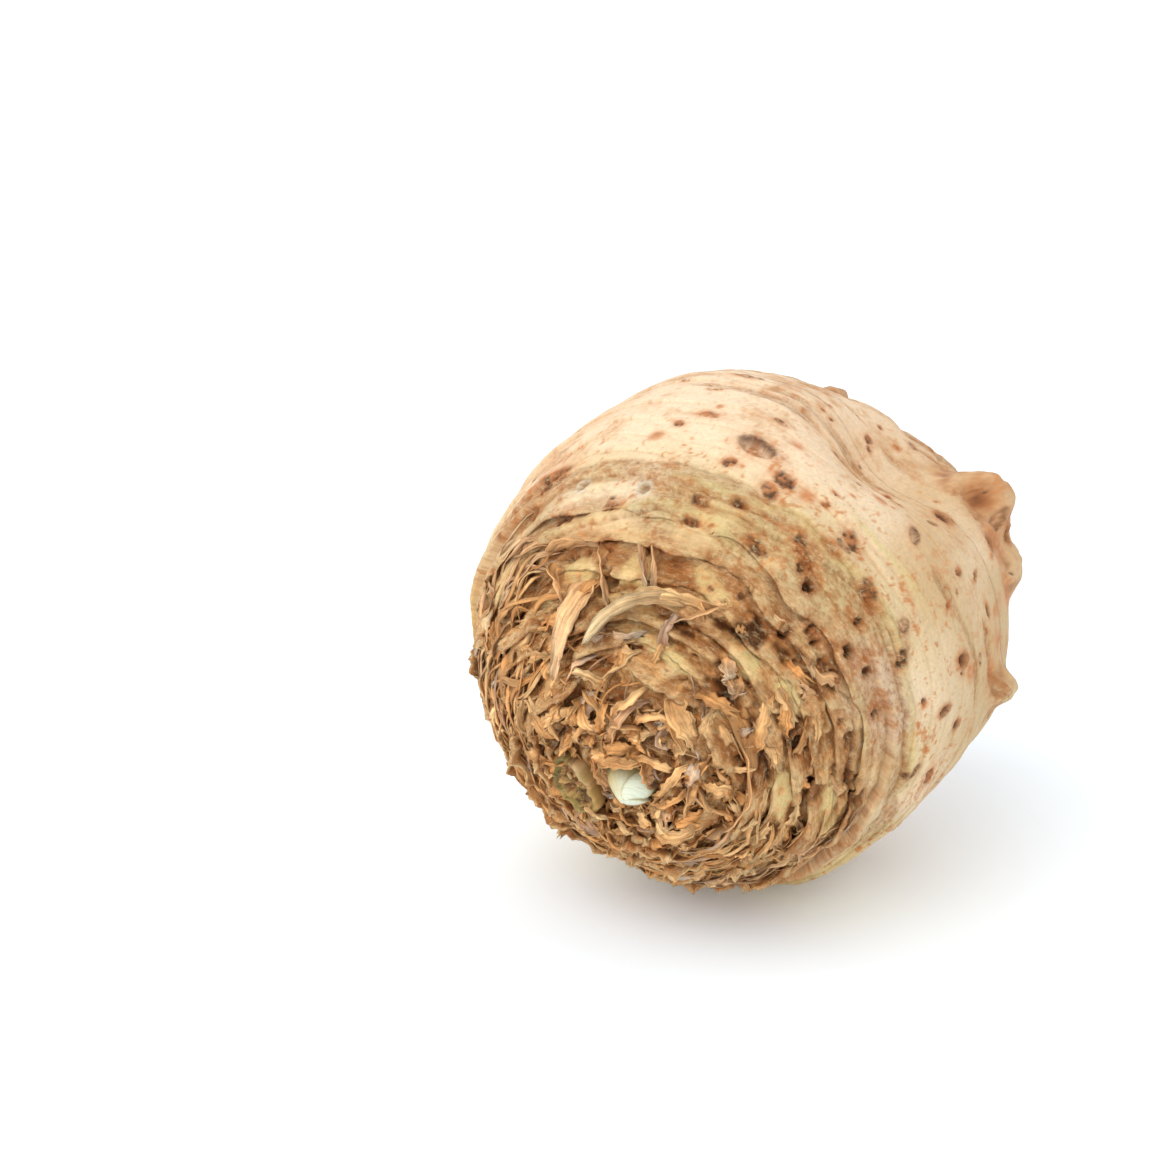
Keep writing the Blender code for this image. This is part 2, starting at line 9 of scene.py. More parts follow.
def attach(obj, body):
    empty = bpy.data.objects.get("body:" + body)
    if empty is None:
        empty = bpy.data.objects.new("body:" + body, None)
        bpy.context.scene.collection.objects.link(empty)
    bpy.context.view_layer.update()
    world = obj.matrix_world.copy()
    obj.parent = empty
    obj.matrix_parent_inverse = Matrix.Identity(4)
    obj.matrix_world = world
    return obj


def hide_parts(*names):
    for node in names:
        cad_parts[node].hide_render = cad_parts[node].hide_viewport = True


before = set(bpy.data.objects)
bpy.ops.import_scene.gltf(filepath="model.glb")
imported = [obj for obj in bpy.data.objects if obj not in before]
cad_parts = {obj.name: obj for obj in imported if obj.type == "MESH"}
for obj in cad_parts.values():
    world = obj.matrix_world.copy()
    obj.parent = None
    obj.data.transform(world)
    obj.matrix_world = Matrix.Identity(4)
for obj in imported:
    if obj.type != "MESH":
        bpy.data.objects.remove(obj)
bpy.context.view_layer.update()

MM = 0.001

# Form shared with the solid model, in metres and degrees
SEMI_AXES = (0.0605, 0.0575, 0.0575)
BELLY_CUT = 0.00125
HEART = np.array((-0.00026, -0.0006, SEMI_AXES[2] - BELLY_CUT))
CROWN_AZIMUTH = -167.0
CROWN_ELEVATION = -13.8
# Broad swells: azimuth, elevation, width in degrees, height
LOBES = (
    (-8.0, 0.0, 40.0, 0.0040), (-46.0, 26.0, 11.0, 0.0036), (-34.0, 16.0, 17.0, 0.0032),
    (-62.0, 50.0, 17.0, -0.0076), (-76.0, 60.0, 16.0, -0.0036), (-60.0, -11.0, 8.0, 0.0016),
    (138.0, 2.0, 30.0, 0.0008), (172.0, -38.0, 26.0, -0.0018), (60.0, 60.0, 30.0, 0.0015),
    (20.0, -48.0, 20.0, -0.0016), (95.0, 8.0, 18.0, 0.0014), (-167.0, -13.8, 13.0, -0.0026),
    (-76.0, -36.0, 20.0, -0.0026),
)
LUMP_HEIGHT = 0.0008
LUMP_SIZE = 0.016
HUSK_SINK = 0.0021
HUSK_SINK_ANGLE = 40.0
HUSK_SINK_WIDTH = 24.0
RING_FIRST = 9.5
RING_GAP = 4.3
RING_GAP_GROWTH = 0.15
RING_COUNT = 17
RING_UNEVEN = 0.2
HUSK_END = 58.0
RING_TILT = 8.5
RING_TILT_TURN = -20.0
GOLDEN_TURN = 137.5
LIP_ANGLES = (0.0, 14.0, 24.0, 46.0, 58.0, 70.0, 90.0, 112.0)
LIP_HEIGHTS = (0.0010, 0.0022, 0.0036, 0.0034, 0.0020, 0.0009, 0.0005, 0.0003)
LIP_LEAN = 400.0
LEAN_SHARE = 0.34
LIP_PATCH = 0.34
LIP_LEAST = 0.12
LIP_MOST = 1.1

# Root scars: angle from the crown, turn, then length, width and depth in millimetres, slant, kind
SCARS = (
    (81.2, 13.4, 9.5, 5.2, 2.0, 80.0, "crater"), (58.5, 41.3, 3.4, 3.2, 3.0, 0.0, "hole"),
    (99.8, 28.3, 4.0, 2.6, 1.8, 70.0, "hole"), (55.6, 59.8, 3.4, 2.8, 2.6, 60.0, "hole"),
    (57.5, 67.5, 2.8, 2.4, 1.4, 30.0, "hole"), (82.8, 81.5, 3.8, 3.2, 2.6, 0.0, "hole"),
    (73.4, 88.6, 3.4, 2.4, 2.6, 10.0, "hole"), (48.1, 44.5, 4.0, 2.6, 2.2, 20.0, "hole"),
    (89.2, 52.5, 5.4, 3.2, 1.2, 20.0, "crater"), (69.7, 63.6, 4.0, 3.0, 0.7, 0.0, "crater"),
    (56.3, 78.4, 5.6, 4.4, 0.4, 10.0, "stain"), (56.0, 79.4, 2.4, 1.8, 1.0, 10.0, "hole"),
    (66.6, 3.8, 4.4, 2.2, 0.0, 90.0, "stain"), (62.6, 38.6, 7.0, 4.0, 0.2, 70.0, "stain"),
    (66.0, 55.0, 6.0, 3.6, 0.2, 80.0, "stain"), (88.0, 20.0, 4.0, 3.0, 0.1, 80.0, "stain"),
    (87.6, -0.6, 6.0, 3.6, 0.7, 80.0, "scab"), (83.5, -6.0, 3.4, 2.4, 0.5, 60.0, "scab"),
    (109.7, 0.3, 4.0, 2.4, 0.8, 85.0, "crater"), (65.5, -23.3, 3.4, 2.6, 0.8, 0.0, "pale"),
    (58.7, 25.2, 8.0, 4.0, 0.6, 75.0, "scab"), (73.3, 42.2, 6.0, 4.0, 0.5, 60.0, "scab"),
    (75.8, 22.4, 7.0, 4.4, 0.6, 70.0, "scab"), (74.8, 28.5, 5.0, 4.0, 0.2, 60.0, "stain"),
    (61.8, 37.3, 6.0, 4.4, 1.2, 40.0, "scab"), (61.7, 55.6, 5.6, 4.4, 0.2, 10.0, "stain"),
    (61.9, 56.0, 2.4, 2.0, 1.2, 10.0, "hole"), (58.1, 64.4, 5.0, 4.0, 0.2, 10.0, "stain"),
    (103.2, 81.7, 4.4, 2.2, 0.2, 5.0, "stain"), (101.9, 88.6, 5.0, 2.6, 0.2, 5.0, "stain"),
    (73.1, 108.4, 6.4, 3.4, 0.6, 90.0, "scab"), (59.0, -13.3, 5.0, 2.6, 0.5, 90.0, "scab"),
    (58.0, 8.3, 6.0, 2.6, 0.5, 90.0, "scab"), (57.6, -27.8, 7.0, 3.0, 0.6, 90.0, "scab"),
    (92.0, 36.0, 1.6, 1.2, 0.4, 90.0, "scab"), (80.5, 33.0, 2.2, 1.4, 0.4, 90.0, "scab"),
    (109.2, -2.0, 5.0, 1.8, 1.4, 85.0, "hole"), (64.0, -6.6, 3.6, 3.0, 0.8, 0.0, "pale"),
    (71.5, 21.3, 7.0, 4.2, 0.6, 40.0, "scab"), (64.2, 33.7, 6.0, 3.6, 0.6, 30.0, "scab"),
    (63.0, 8.4, 5.0, 3.0, 0.6, 80.0, "scab"), (74.0, -112.0, 4.2, 3.4, 2.4, 20.0, "hole"),
    (104.0, -128.0, 5.0, 3.0, 1.8, 60.0, "hole"), (86.0, 138.0, 4.4, 3.4, 2.2, 30.0, "hole"),
    (118.0, -48.0, 4.6, 3.2, 2.0, 40.0, "crater"), (119.0, 61.4, 9.6, 5.6, 3.4, 60.0, "stain"),
    (120.0, 73.1, 4.0, 2.6, 1.6, 90.0, "hole"), (115.0, 72.0, 12.0, 6.4, 0.8, 90.0, "stain"),
    (113.0, 83.0, 11.0, 5.0, 0.4, 95.0, "stain"), (100.5, 88.0, 6.0, 4.0, 0.2, 90.0, "stain"),
    (85.0, 86.0, 5.0, 4.0, 0.1, 90.0, "stain"), (96.0, 93.0, 8.0, 5.0, 0.3, 90.0, "stain"),
    (72.0, -35.0, 12.0, 7.0, 0.3, 90.0, "scab"), (118.0, 68.0, 4.0, 3.0, 1.4, 40.0, "crater"),
    (112.5, 70.0, 4.0, 2.8, 1.2, 60.0, "hole"), (68.0, 52.0, 6.0, 3.0, 0.6, 80.0, "scab"),
    (65.5, 70.0, 5.0, 3.0, 0.8, 60.0, "scab"), (50.0, 61.0, 9.0, 6.0, 1.0, 80.0, "scab"),
    (52.0, 50.5, 6.0, 4.0, 1.4, 70.0, "scab"), (101.0, 44.0, 3.6, 2.4, 0.6, 0.0, "scab"),
    (94.0, 66.0, 3.0, 2.6, 0.8, 0.0, "scab"), (99.0, 79.0, 5.0, 2.2, 0.8, 85.0, "scab"),
    (99.7, 70.7, 3.6, 1.2, 0.8, 10.0, "hole"), (84.6, 69.0, 2.8, 1.8, 0.8, 10.0, "scab"),
    (12.6, 85.2, 3.4, 2.4, 3.4, 0.0, "hole"), (12.2, 113.2, 3.4, 2.4, 3.4, 0.0, "hole"),
    (21.0, 130.0, 3.6, 2.6, 3.0, 90.0, "hole"), (18.1, 26.3, 3.4, 2.4, 3.0, 0.0, "hole"),
    (17.4, 54.1, 5.4, 3.6, 3.4, 60.0, "hole"), (14.7, -1.7, 3.0, 2.2, 3.0, 90.0, "hole"),
    (9.3, 66.3, 3.0, 2.2, 3.0, 90.0, "hole"),
)
SMALL_SCARS = 260
# How far round a mark its change is worked out, in lengths of the mark
MARK_REACH = 2.4
# Depth in metres from which a stain is at its darkest
DEEP_STAIN = 0.002
# The last rows of a stretch of skin sink under the next stretch
OVERLAP_ROWS = 3
OVERLAP_DIP = 0.0001
# Smooth pale leaf scars: angle from the crown, turn, length, width, slant
FACETS = (
    (46.5, 22.3, 0.0120, 0.0060, 60.0), (31.1, 14.4, 0.0170, 0.0046, 75.0),
    (38.5, 41.6, 0.0120, 0.0055, 80.0), (40.2, 60.9, 0.0110, 0.0050, 85.0),
    (45.5, -20.5, 0.0100, 0.0072, 90.0), (52.0, -8.0, 0.0140, 0.0050, 90.0),
    (33.0, 96.0, 0.0150, 0.0060, 85.0), (44.0, 108.0, 0.0180, 0.0050, 95.0),
    (38.0, -70.0, 0.0140, 0.0060, 80.0), (36.0, 160.0, 0.0150, 0.0060, 90.0),
)
# Long overlapping folds: height of the step, then angle and turn along it
FOLDS = (
    (0.0009, (66.6, -1.9), (65.1, 11.1), (65.7, 22.0), (67.3, 30.2), (65.4, 40.6), (66.7, 51.9),
     (65.3, 64.3), (62.8, 77.8), (62.0, 91.6), (61.5, 108.8)),
    (0.0010, (47.0, 42.0), (48.1, 51.3), (48.4, 59.3), (51.7, 73.0), (49.9, 84.5),
     (47.6, 102.7), (44.0, 118.0)),
    (0.0004, (77.0, 37.0), (76.6, 40.9), (76.2, 48.4), (76.4, 57.8), (76.0, 64.0)),
    (0.0009, (52.0, -44.0), (53.5, -34.0), (55.6, -15.1), (59.2, -0.2), (58.6, 10.6), (55.0, 22.0)),
    (0.0008, (54.0, -95.0), (57.0, -110.0), (59.0, -128.0), (58.0, -146.0), (60.0, -160.0)),
    (0.0008, (60.0, 150.0), (63.0, 166.0), (62.0, 182.0), (58.0, 198.0)),
    (0.0006, (78.0, -70.0), (76.0, -90.0), (79.0, -110.0), (83.0, -128.0)),
    (0.0006, (84.0, 128.0), (82.0, 144.0), (85.0, 160.0), (84.0, 178.0)),
)
FOLD_REACH = 3.4
# Height in metres from which a fold has its full groove
FULL_FOLD = 0.0008
# Knobs left by trimmed roots: angle from the crown, turn, height, base radius
KNOBS = (
    (122.5, 64.0, 0.0052, 0.0086), (122.5, 57.5, 0.0026, 0.0062), (119.5, 82.0, 0.0032, 0.0074),
    (99.5, 99.5, 0.0040, 0.0060), (139.0, 12.0, 0.0030, 0.0046), (146.0, 92.0, 0.0046, 0.0056),
    (158.0, 20.0, 0.0042, 0.0064), (151.0, -48.0, 0.0034, 0.0044), (169.0, -140.0, 0.0050, 0.0070),
    (140.0, -104.0, 0.0032, 0.0050), (132.0, 128.0, 0.0026, 0.0042), (147.0, 168.0, 0.0030, 0.0046),
    (124.0, -70.0, 0.0022, 0.0036), (174.0, 50.0, 0.0040, 0.0048),
)
# Coarse skin: angle from the crown and how much of the skin there is coarse
COARSE_ANGLES = (0.0, 40.0, 52.0, 60.0, 68.0, 80.0, 100.0, 130.0)
COARSE_SHARES = (0.2, 0.2, 0.12, 0.05, -0.12, -0.28, -0.34, -0.20)
# Stretches of skin: name, first and last angle from the crown, columns, row spacing in millimetres
SKIN_PIECES = (
    ("heart_skin", 0.0, 33.0, 480, 0.33),
    ("crown_skin", 33.0, 62.0, 780, 0.38),
    ("belt_skin", 62.0, 106.0, 820, 0.46),
    ("root_skin", 106.0, 180.0, 620, 0.52),
)


def linear(red, green, blue):
    """Linear colour from display values out of 255."""
    c = np.array([red, green, blue]) / 255.0
    return np.where(c <= 0.04045, c / 12.92, ((c + 0.055) / 1.055) ** 2.4)


CREAM = linear(236, 211, 179)
WARM = linear(218, 178, 134)
GREENISH = linear(212, 190, 126)
PALE_FACET = linear(222, 198, 134)
STRAW = linear(250, 210, 152)
TAN = linear(238, 178, 112)
BROWN = linear(190, 122, 62)
DARK = linear(72, 38, 15)
RUST = linear(198, 114, 48)
STAIN = linear(188, 136, 82)
GREY = linear(198, 166, 140)
WHITE = linear(228, 222, 200)


def unit(azimuth, elevation):
    """Direction for an azimuth and elevation in degrees."""
    a = math.radians(azimuth)
    e = math.radians(elevation)
    return np.array([math.cos(a) * math.cos(e), math.sin(a) * math.cos(e), math.sin(e)])


CROWN = unit(CROWN_AZIMUTH, CROWN_ELEVATION)
ACROSS = np.array([0.0, 0.0, 1.0]) - CROWN[2] * CROWN
ACROSS /= np.linalg.norm(ACROSS)
SIDEWAYS = np.cross(ACROSS, CROWN)
# Direction of the side that shows in the photograph
SHOWN = unit(-140.0, 20.0)


def direction(angle, turn):
    """Directions from the heart, by the angle from the crown and the turn about it."""
    a = np.radians(np.asarray(angle, float))
    t = np.radians(np.asarray(turn, float))
    out = np.cos(a)[..., None] * CROWN
    out = out + (np.sin(a) * np.cos(t))[..., None] * ACROSS
    return out + (np.sin(a) * np.sin(t))[..., None] * SIDEWAYS


def hashed(cells, seed):
    """Repeatable values from 0 to 1 for whole-number cells."""
    c = np.asarray(cells).astype(np.int64)
    n = (c[..., 0] * 73856 + c[..., 1] * 19349 + c[..., 2] * 83492 + seed * 26544) & 0x7FFFFFFF
    n = ((n ^ (n >> 13)) * 60493) & 0x7FFFFFFF
    n = ((n ^ (n >> 15)) * 41117) & 0x7FFFFFFF
    return (n ^ (n >> 14)) / 2147483647.0


def smooth_noise(points, size, seed):
    """Smooth values from -1 to 1 that vary over the given size."""
    p = np.asarray(points, float) / size
    cell = np.floor(p).astype(np.int64)
    f = p - cell
    f = f * f * (3.0 - 2.0 * f)
    total = np.zeros(p.shape[:-1])
    for i in (0, 1):
        for j in (0, 1):
            for k in (0, 1):
                weight = (f[..., 0] if i else 1 - f[..., 0]) * (f[..., 1] if j else 1 - f[..., 1])
                weight = weight * (f[..., 2] if k else 1 - f[..., 2])
                total += weight * hashed(cell + np.array([i, j, k]), seed)
    return total * 2.0 - 1.0


def layered(points, size, seed, octaves=3, rough=0.55):
    """Several sizes of smooth noise together."""
    total = 0.0
    weight = 1.0
    full = 0.0
    for step in range(octaves):
        total = total + weight * smooth_noise(points, np.asarray(size) * 0.5 ** step, seed + 7 * step)
        full += weight
        weight *= rough
    return total / full


def held(x, most=1.0):
    """Values held between 0 and a limit."""
    return np.clip(x, 0.0, most)


def step_up(low, high, x):
    """Smooth step from 0 at low to 1 at high."""
    t = held((x - low) / (high - low))
    return t * t * (3.0 - 2.0 * t)


def bell(x, centre, width, power=2):
    """Bump of 1 at the centre that fades over the width."""
    return np.exp(-(((x - centre) / width) ** power))


def mix(a, b, share):
    """Blend between two colours by a share for each point."""
    return a + (b - a) * np.asarray(share)[..., None]


def layers_over(colour, layers):
    """Colour after each tone is laid over it by its share."""
    for tone, share in layers:
        colour = mix(colour, tone, share)
    return colour


def circle(columns):
    """Angles of evenly spaced points round a ring, in radians."""
    return np.arange(columns) * 2.0 * math.pi / columns


def ringed(place, along, size, seed, octaves=3, rough=0.55):
    """Layered noise drawn out along the rings."""
    return layered(place * np.array([1.0, along, along]), size, seed, octaves, rough)


def turn_of(u):
    """Turn about the crown of unit directions."""
    return np.degrees(np.arctan2(u @ SIDEWAYS, u @ ACROSS))


def angle_between(u, centre):
    """Angle in degrees from unit directions to a centre."""
    return np.degrees(np.arccos(np.clip(u @ centre, -1.0, 1.0)))


def form_radius(u):
    """Distance from the heart to the plain surface along unit directions."""
    r = 1.0 / np.sqrt(((u / np.array(SEMI_AXES)) ** 2).sum(-1))
    for azimuth, elevation, width, height in LOBES:
        r = r + height * bell(angle_between(u, unit(azimuth, elevation)), 0.0, width)
    r = r - HUSK_SINK * bell(angle_between(u, CROWN), HUSK_SINK_ANGLE, HUSK_SINK_WIDTH)
    return r + LUMP_HEIGHT * smooth_noise(u * SEMI_AXES[0], LUMP_SIZE, 3)


def ring_angle(angle, turn):
    """Angle from the crown once the rings are tilted and waved."""
    t = np.radians(turn)
    a = np.radians(angle)
    tilt = RING_TILT * np.sin(a) ** 1.5 * np.cos(t - math.radians(RING_TILT_TURN))
    wave = np.sin(a) * (0.8 * np.sin(3.0 * t + 3.0 * a) + 0.5 * np.sin(7.0 * t + 9.0 * a))
    return angle + tilt + wave


def ring_coordinates(angle, turn):
    """Place in millimetres along and across the rings, with no seam."""
    a = np.radians(angle)
    t = np.radians(turn)
    out = 58.0 * np.sin(a)
    return np.stack([58.0 * a * np.ones_like(t), out * np.cos(t), out * np.sin(t)], -1)


def surface(angle, turn):
    """Points of the plain surface."""
    u = direction(angle, turn)
    return HEART + form_radius(u)[..., None] * u


def ring_edges():
    """Angle from the crown of each leaf ring's edge, and the last one's end."""
    edges = []
    angle = RING_FIRST
    gap = RING_GAP
    for index in range(RING_COUNT):
        edges.append(angle)
        angle += gap * (1.0 + RING_UNEVEN * (2.0 * hashed(np.array([index, 3, 5]), 2) - 1.0))
        gap += RING_GAP_GROWTH
    return np.array(edges), angle


EDGES, LAST_EDGE = ring_edges()


# Skin
def lip_height(index, turns):
    """Height of a leaf ring's torn lip at each turn."""
    index = min(index, RING_COUNT - 1)
    angle = EDGES[index]
    full = np.interp(angle, LIP_ANGLES, LIP_HEIGHTS)
    count = 2 + index % 2
    leaf = 0.5 + 0.5 * np.cos(count * np.radians(turns - GOLDEN_TURN * index))
    u = direction(angle * np.ones(turns.size), turns)
    patch = smooth_noise(u, LIP_PATCH, 20 + index)
    share = np.clip(0.42 * leaf + 0.55 + 0.75 * patch, LIP_LEAST, LIP_MOST)
    husk = 1.0 if angle < HUSK_END else 0.3
    torn = layered(u, 0.10, 60 + index, 4, 0.75)
    gap = step_up(-0.05, 0.35, smooth_noise(u, 0.16, 90 + index)) * husk
    faded = step_up(0.10, -0.25, smooth_noise(u, 0.30, 110 + index)) * step_up(48.0, 64.0, angle)
    return full * share * np.clip(1.0 + 0.75 * husk * torn - 0.85 * gap, 0.08, 1.45) * (1.0 - 0.85 * faded)


def row_angle(index, share):
    """Angle from the crown of one row of the skin before tilting."""
    if index < 0:
        return share * RING_FIRST
    limits = np.append(EDGES, [LAST_EDGE, 180.0])
    return limits[index] + share * (limits[index + 1] - limits[index])


def skin_rows(first, last, spacing):
    """Rows between two angles as ring number and share of the way to the next edge."""
    limits = np.concatenate([[0.0], EDGES, [LAST_EDGE, 180.0]])
    rows = []
    for index in range(-1, RING_COUNT + 1):
        count = max(2, int(round((limits[index + 2] - limits[index + 1]) / spacing)))
        rows += [(index, step / count) for step in range(count)]
    rows = rows[1:] + [(RING_COUNT, 0.9995)]
    angles = [row_angle(index, share) for index, share in rows]
    start = next(i for i, angle in enumerate(angles) if angle >= first)
    end = next((i for i, angle in enumerate(angles) if angle >= last), len(rows) - 1)
    return rows[start:end + 1 + OVERLAP_ROWS]


def ring_profile(index, share, turns):
    """Angle before tilting and height of one skin row."""
    flat = np.ones(turns.size)
    if index < 0:
        return share * RING_FIRST * flat, 0.0 * flat
    if index >= RING_COUNT:
        return (LAST_EDGE + share * (180.0 - LAST_EDGE)) * flat, 0.0 * flat
    start = EDGES[index]
    end = EDGES[index + 1] if index + 1 < RING_COUNT else LAST_EDGE
    gap = end - start
    before = start - (EDGES[index - 1] if index else RING_FIRST - RING_GAP)
    height = lip_height(index, turns)
    following = lip_height(index + 1, turns) if index + 1 < RING_COUNT else 0.0 * flat
    husk = start < HUSK_END
    lean = np.minimum(LIP_LEAN * height, LEAN_SHARE * before) if husk else 0.0 * flat
    tuck = 0.14 * gap if husk else 0.0
    next_tuck = 0.14 * gap if end < HUSK_END else 0.0
    under, edge = (0.22, 0.32) if husk else (0.10, 0.14)
    thickness = np.minimum(0.0006, 0.5 * height)
    if share < under:
        q = share / under
        return start + tuck + (-lean - tuck) * q, -0.3 * height + (height * 1.3 - thickness) * q ** 0.8
    if share < edge:
        q = (share - under) / (edge - under)
        return start - lean + 0.10 * gap * q * q, height - thickness + thickness * math.sin(0.5 * math.pi * q)
    q = (share - edge) / (1.0 - edge)
    first = start - lean + 0.10 * gap
    fall = (1.0 - q) ** 1.25
    return first + (end + next_tuck - first) * q, height * fall - 0.3 * following * (1.0 - fall)


def mark_frame(u, centre, slant):
    """Offsets from a mark's centre, along and across it, in metres."""
    toward = CROWN - (CROWN @ centre) * centre
    toward /= np.linalg.norm(toward)
    side = np.cross(centre, toward)
    s = math.radians(slant)
    away = (u - centre) * 0.058
    along = math.cos(s) * toward + math.sin(s) * side
    across = math.cos(s) * side - math.sin(s) * toward
    return away @ along, away @ across


def oval(along, across, length, width):
    """Distance from a mark's centre, with 1 at its rim."""
    return np.sqrt((along / (0.5 * length)) ** 2 + (across / (0.5 * width)) ** 2)


def placed_marks():
    """The scars that were placed one by one, with sizes in metres."""
    return [(angle, turn, MM * length, MM * width, MM * depth, slant, kind)
            for angle, turn, length, width, depth, slant, kind in SCARS]


def scattered_marks():
    """Small scars all over the skin, thinner towards the crown."""
    pick = np.random.default_rng(21)
    marks = []
    for _ in range(SMALL_SCARS):
        angle = 44.0 + 130.0 * pick.random() ** 0.9
        turn = pick.uniform(-180.0, 180.0)
        length = 0.0013 + 0.0034 * pick.random() ** 2.4
        kind = ("scab", "scab", "hole", "wart", "crater", "scab")[pick.integers(6)]
        width = length * pick.uniform(0.45, 0.9)
        marks.append((angle, turn, length, width, 0.22 * length, pick.uniform(50.0, 125.0), kind))
    return marks


def mark_shape(kind, rho, rough, across, width, depth):
    """Height and the dark, rust and pale weights of one mark."""
    cup = 1.0 - step_up(0.55, 1.0, rho)
    rim = bell(rho, 1.12, 0.24)
    halo = bell(np.maximum(rho - 0.9, 0.0), 0.0, 0.7)
    none = 0.0 * rho
    if kind == "crater":
        far = step_up(-0.5, 0.5, across / (0.5 * width))
        flaky = held(0.35 - 1.6 * rough)
        lift = -depth * cup + 0.45 * depth * bell(rho, 0.0, 0.42) + 0.16 * depth * rim
        dark = bell(rho, 0.92, 0.16) * (0.20 + 0.75 * far + 0.5 * rough) + 0.45 * cup * flaky
        return lift, dark, 0.35 * halo + 0.35 * cup * flaky, 0.30 * cup * held(0.2 + 1.8 * rough)
    if kind == "hole":
        return -depth * cup + 0.16 * depth * rim, cup + 0.30 * rim, 0.70 * halo, none
    if kind == "wart":
        return 0.5 * depth * cup, 0.30 * cup, 0.80 * halo, none
    if kind == "stain":
        soft = bell(rho, 0.0, 0.95)
        dark = held(depth / DEEP_STAIN) * 0.95 * soft ** 2 * (0.7 + 0.9 * rough)
        return -depth * soft, held(dark), held(soft * (1.0 + 0.9 * rough)), none
    if kind == "pale":
        return -depth * cup + 0.25 * depth * rim, 0.45 * cup, none, rim
    speckled = held(0.5 + 2.4 * rough)
    dark = 0.85 * cup * (1.0 - speckled) ** 1.5 + 0.25 * cup
    rust = (0.95 * cup + 0.60 * halo) * (0.30 + 0.70 * speckled)
    return depth * cup * (2.2 * rough - 0.3), dark, rust, none


def knob_shape(away, rough, height):
    """Height and the dark and rust weights of one knob."""
    away = away * (1.0 + 0.30 * rough)
    bump = bell(away, 0.0, 0.68, 3.0)
    ring = bell(away, 0.8, 0.3)
    lift = height * bump * (1.0 + 0.16 * rough) + 0.0005 * rough * bell(away, 0.0, 1.2)
    dark = (0.20 * bump ** 3 + 0.50 * ring) * held(1.9 * rough)
    return lift, dark, held(0.20 * bump + 0.65 * ring) * held(0.4 + 1.3 * rough)


def scar_marks(u, points):
    """Height change and the dark, rust and pale weights of the root scars and knobs."""
    lift = np.zeros(len(u))
    weights = [np.zeros(len(u)) for _ in range(3)]
    rough_all = layered(points, 0.0012, 5, 3, 0.75)

    def close_to(centre, size):
        return np.nonzero(u @ centre > math.cos(MARK_REACH * size / 0.055))[0]

    def add(near, change, *values):
        lift[near] += change
        for weight, value in zip(weights, values):
            weight[near] = np.maximum(weight[near], value)

    for angle, turn, length, width, depth, slant, kind in placed_marks() + scattered_marks():
        centre = direction(angle, turn)
        near = close_to(centre, length)
        if near.size:
            along, across = mark_frame(u[near], centre, slant)
            rough = rough_all[near]
            rho = oval(along, across, length, width) * (1.0 + 0.28 * rough)
            add(near, *mark_shape(kind, rho, rough, across, width, depth))
    for angle, turn, height, radius in KNOBS:
        centre = direction(angle, turn)
        near = close_to(centre, radius)
        if near.size:
            away = np.linalg.norm((u[near] - centre) * 0.060, axis=1) / radius
            add(near, *knob_shape(away, layered(points[near], 0.0026, 8, 3), height))
    return lift, *weights


def named_facets(u):
    """Weight of the smooth pale leaf scars that show best."""
    weight = np.zeros(len(u))
    wavy = 1.0 + 0.55 * layered(u, 0.075, 73, 4, 0.7)
    for angle, turn, length, width, slant in FACETS:
        centre = direction(angle, turn)
        rho = oval(*mark_frame(u, centre, slant), length, width) * wavy
        weight = np.maximum(weight, (u @ centre > 0.8) * (1.0 - step_up(0.62, 1.15, rho)))
    return weight


def long_folds(angle, u):
    """Step height, groove and pale edge of the long overlapping folds."""
    turn = turn_of(u)
    step, groove, edge = np.zeros((3, len(u)))
    waver = 0.9 * layered(u, 0.14, 95, 3)
    for height, *path in FOLDS:
        turns = np.array([point[1] for point in path])
        around = np.where(turn < turns[0] - 20.0, turn + 360.0, turn)
        line = np.interp(around, turns, [point[0] for point in path]) + waver
        ends = step_up(turns[0] - 3.0, turns[0] + 7.0, around)
        ends = ends * (1.0 - step_up(turns[-1] - 7.0, turns[-1] + 3.0, around))
        beyond = angle - line
        rise = step_up(-0.35, 0.35, beyond) * bell(np.maximum(beyond, 0.0), 0.0, FOLD_REACH)
        step = np.maximum(step, height * rise * ends)
        groove = np.maximum(groove, bell(beyond, -0.35, 0.42) * ends * min(1.0, height / FULL_FOLD))
        edge = np.maximum(edge, bell(beyond, 1.5, 1.2) * ends)
    return step, groove, edge


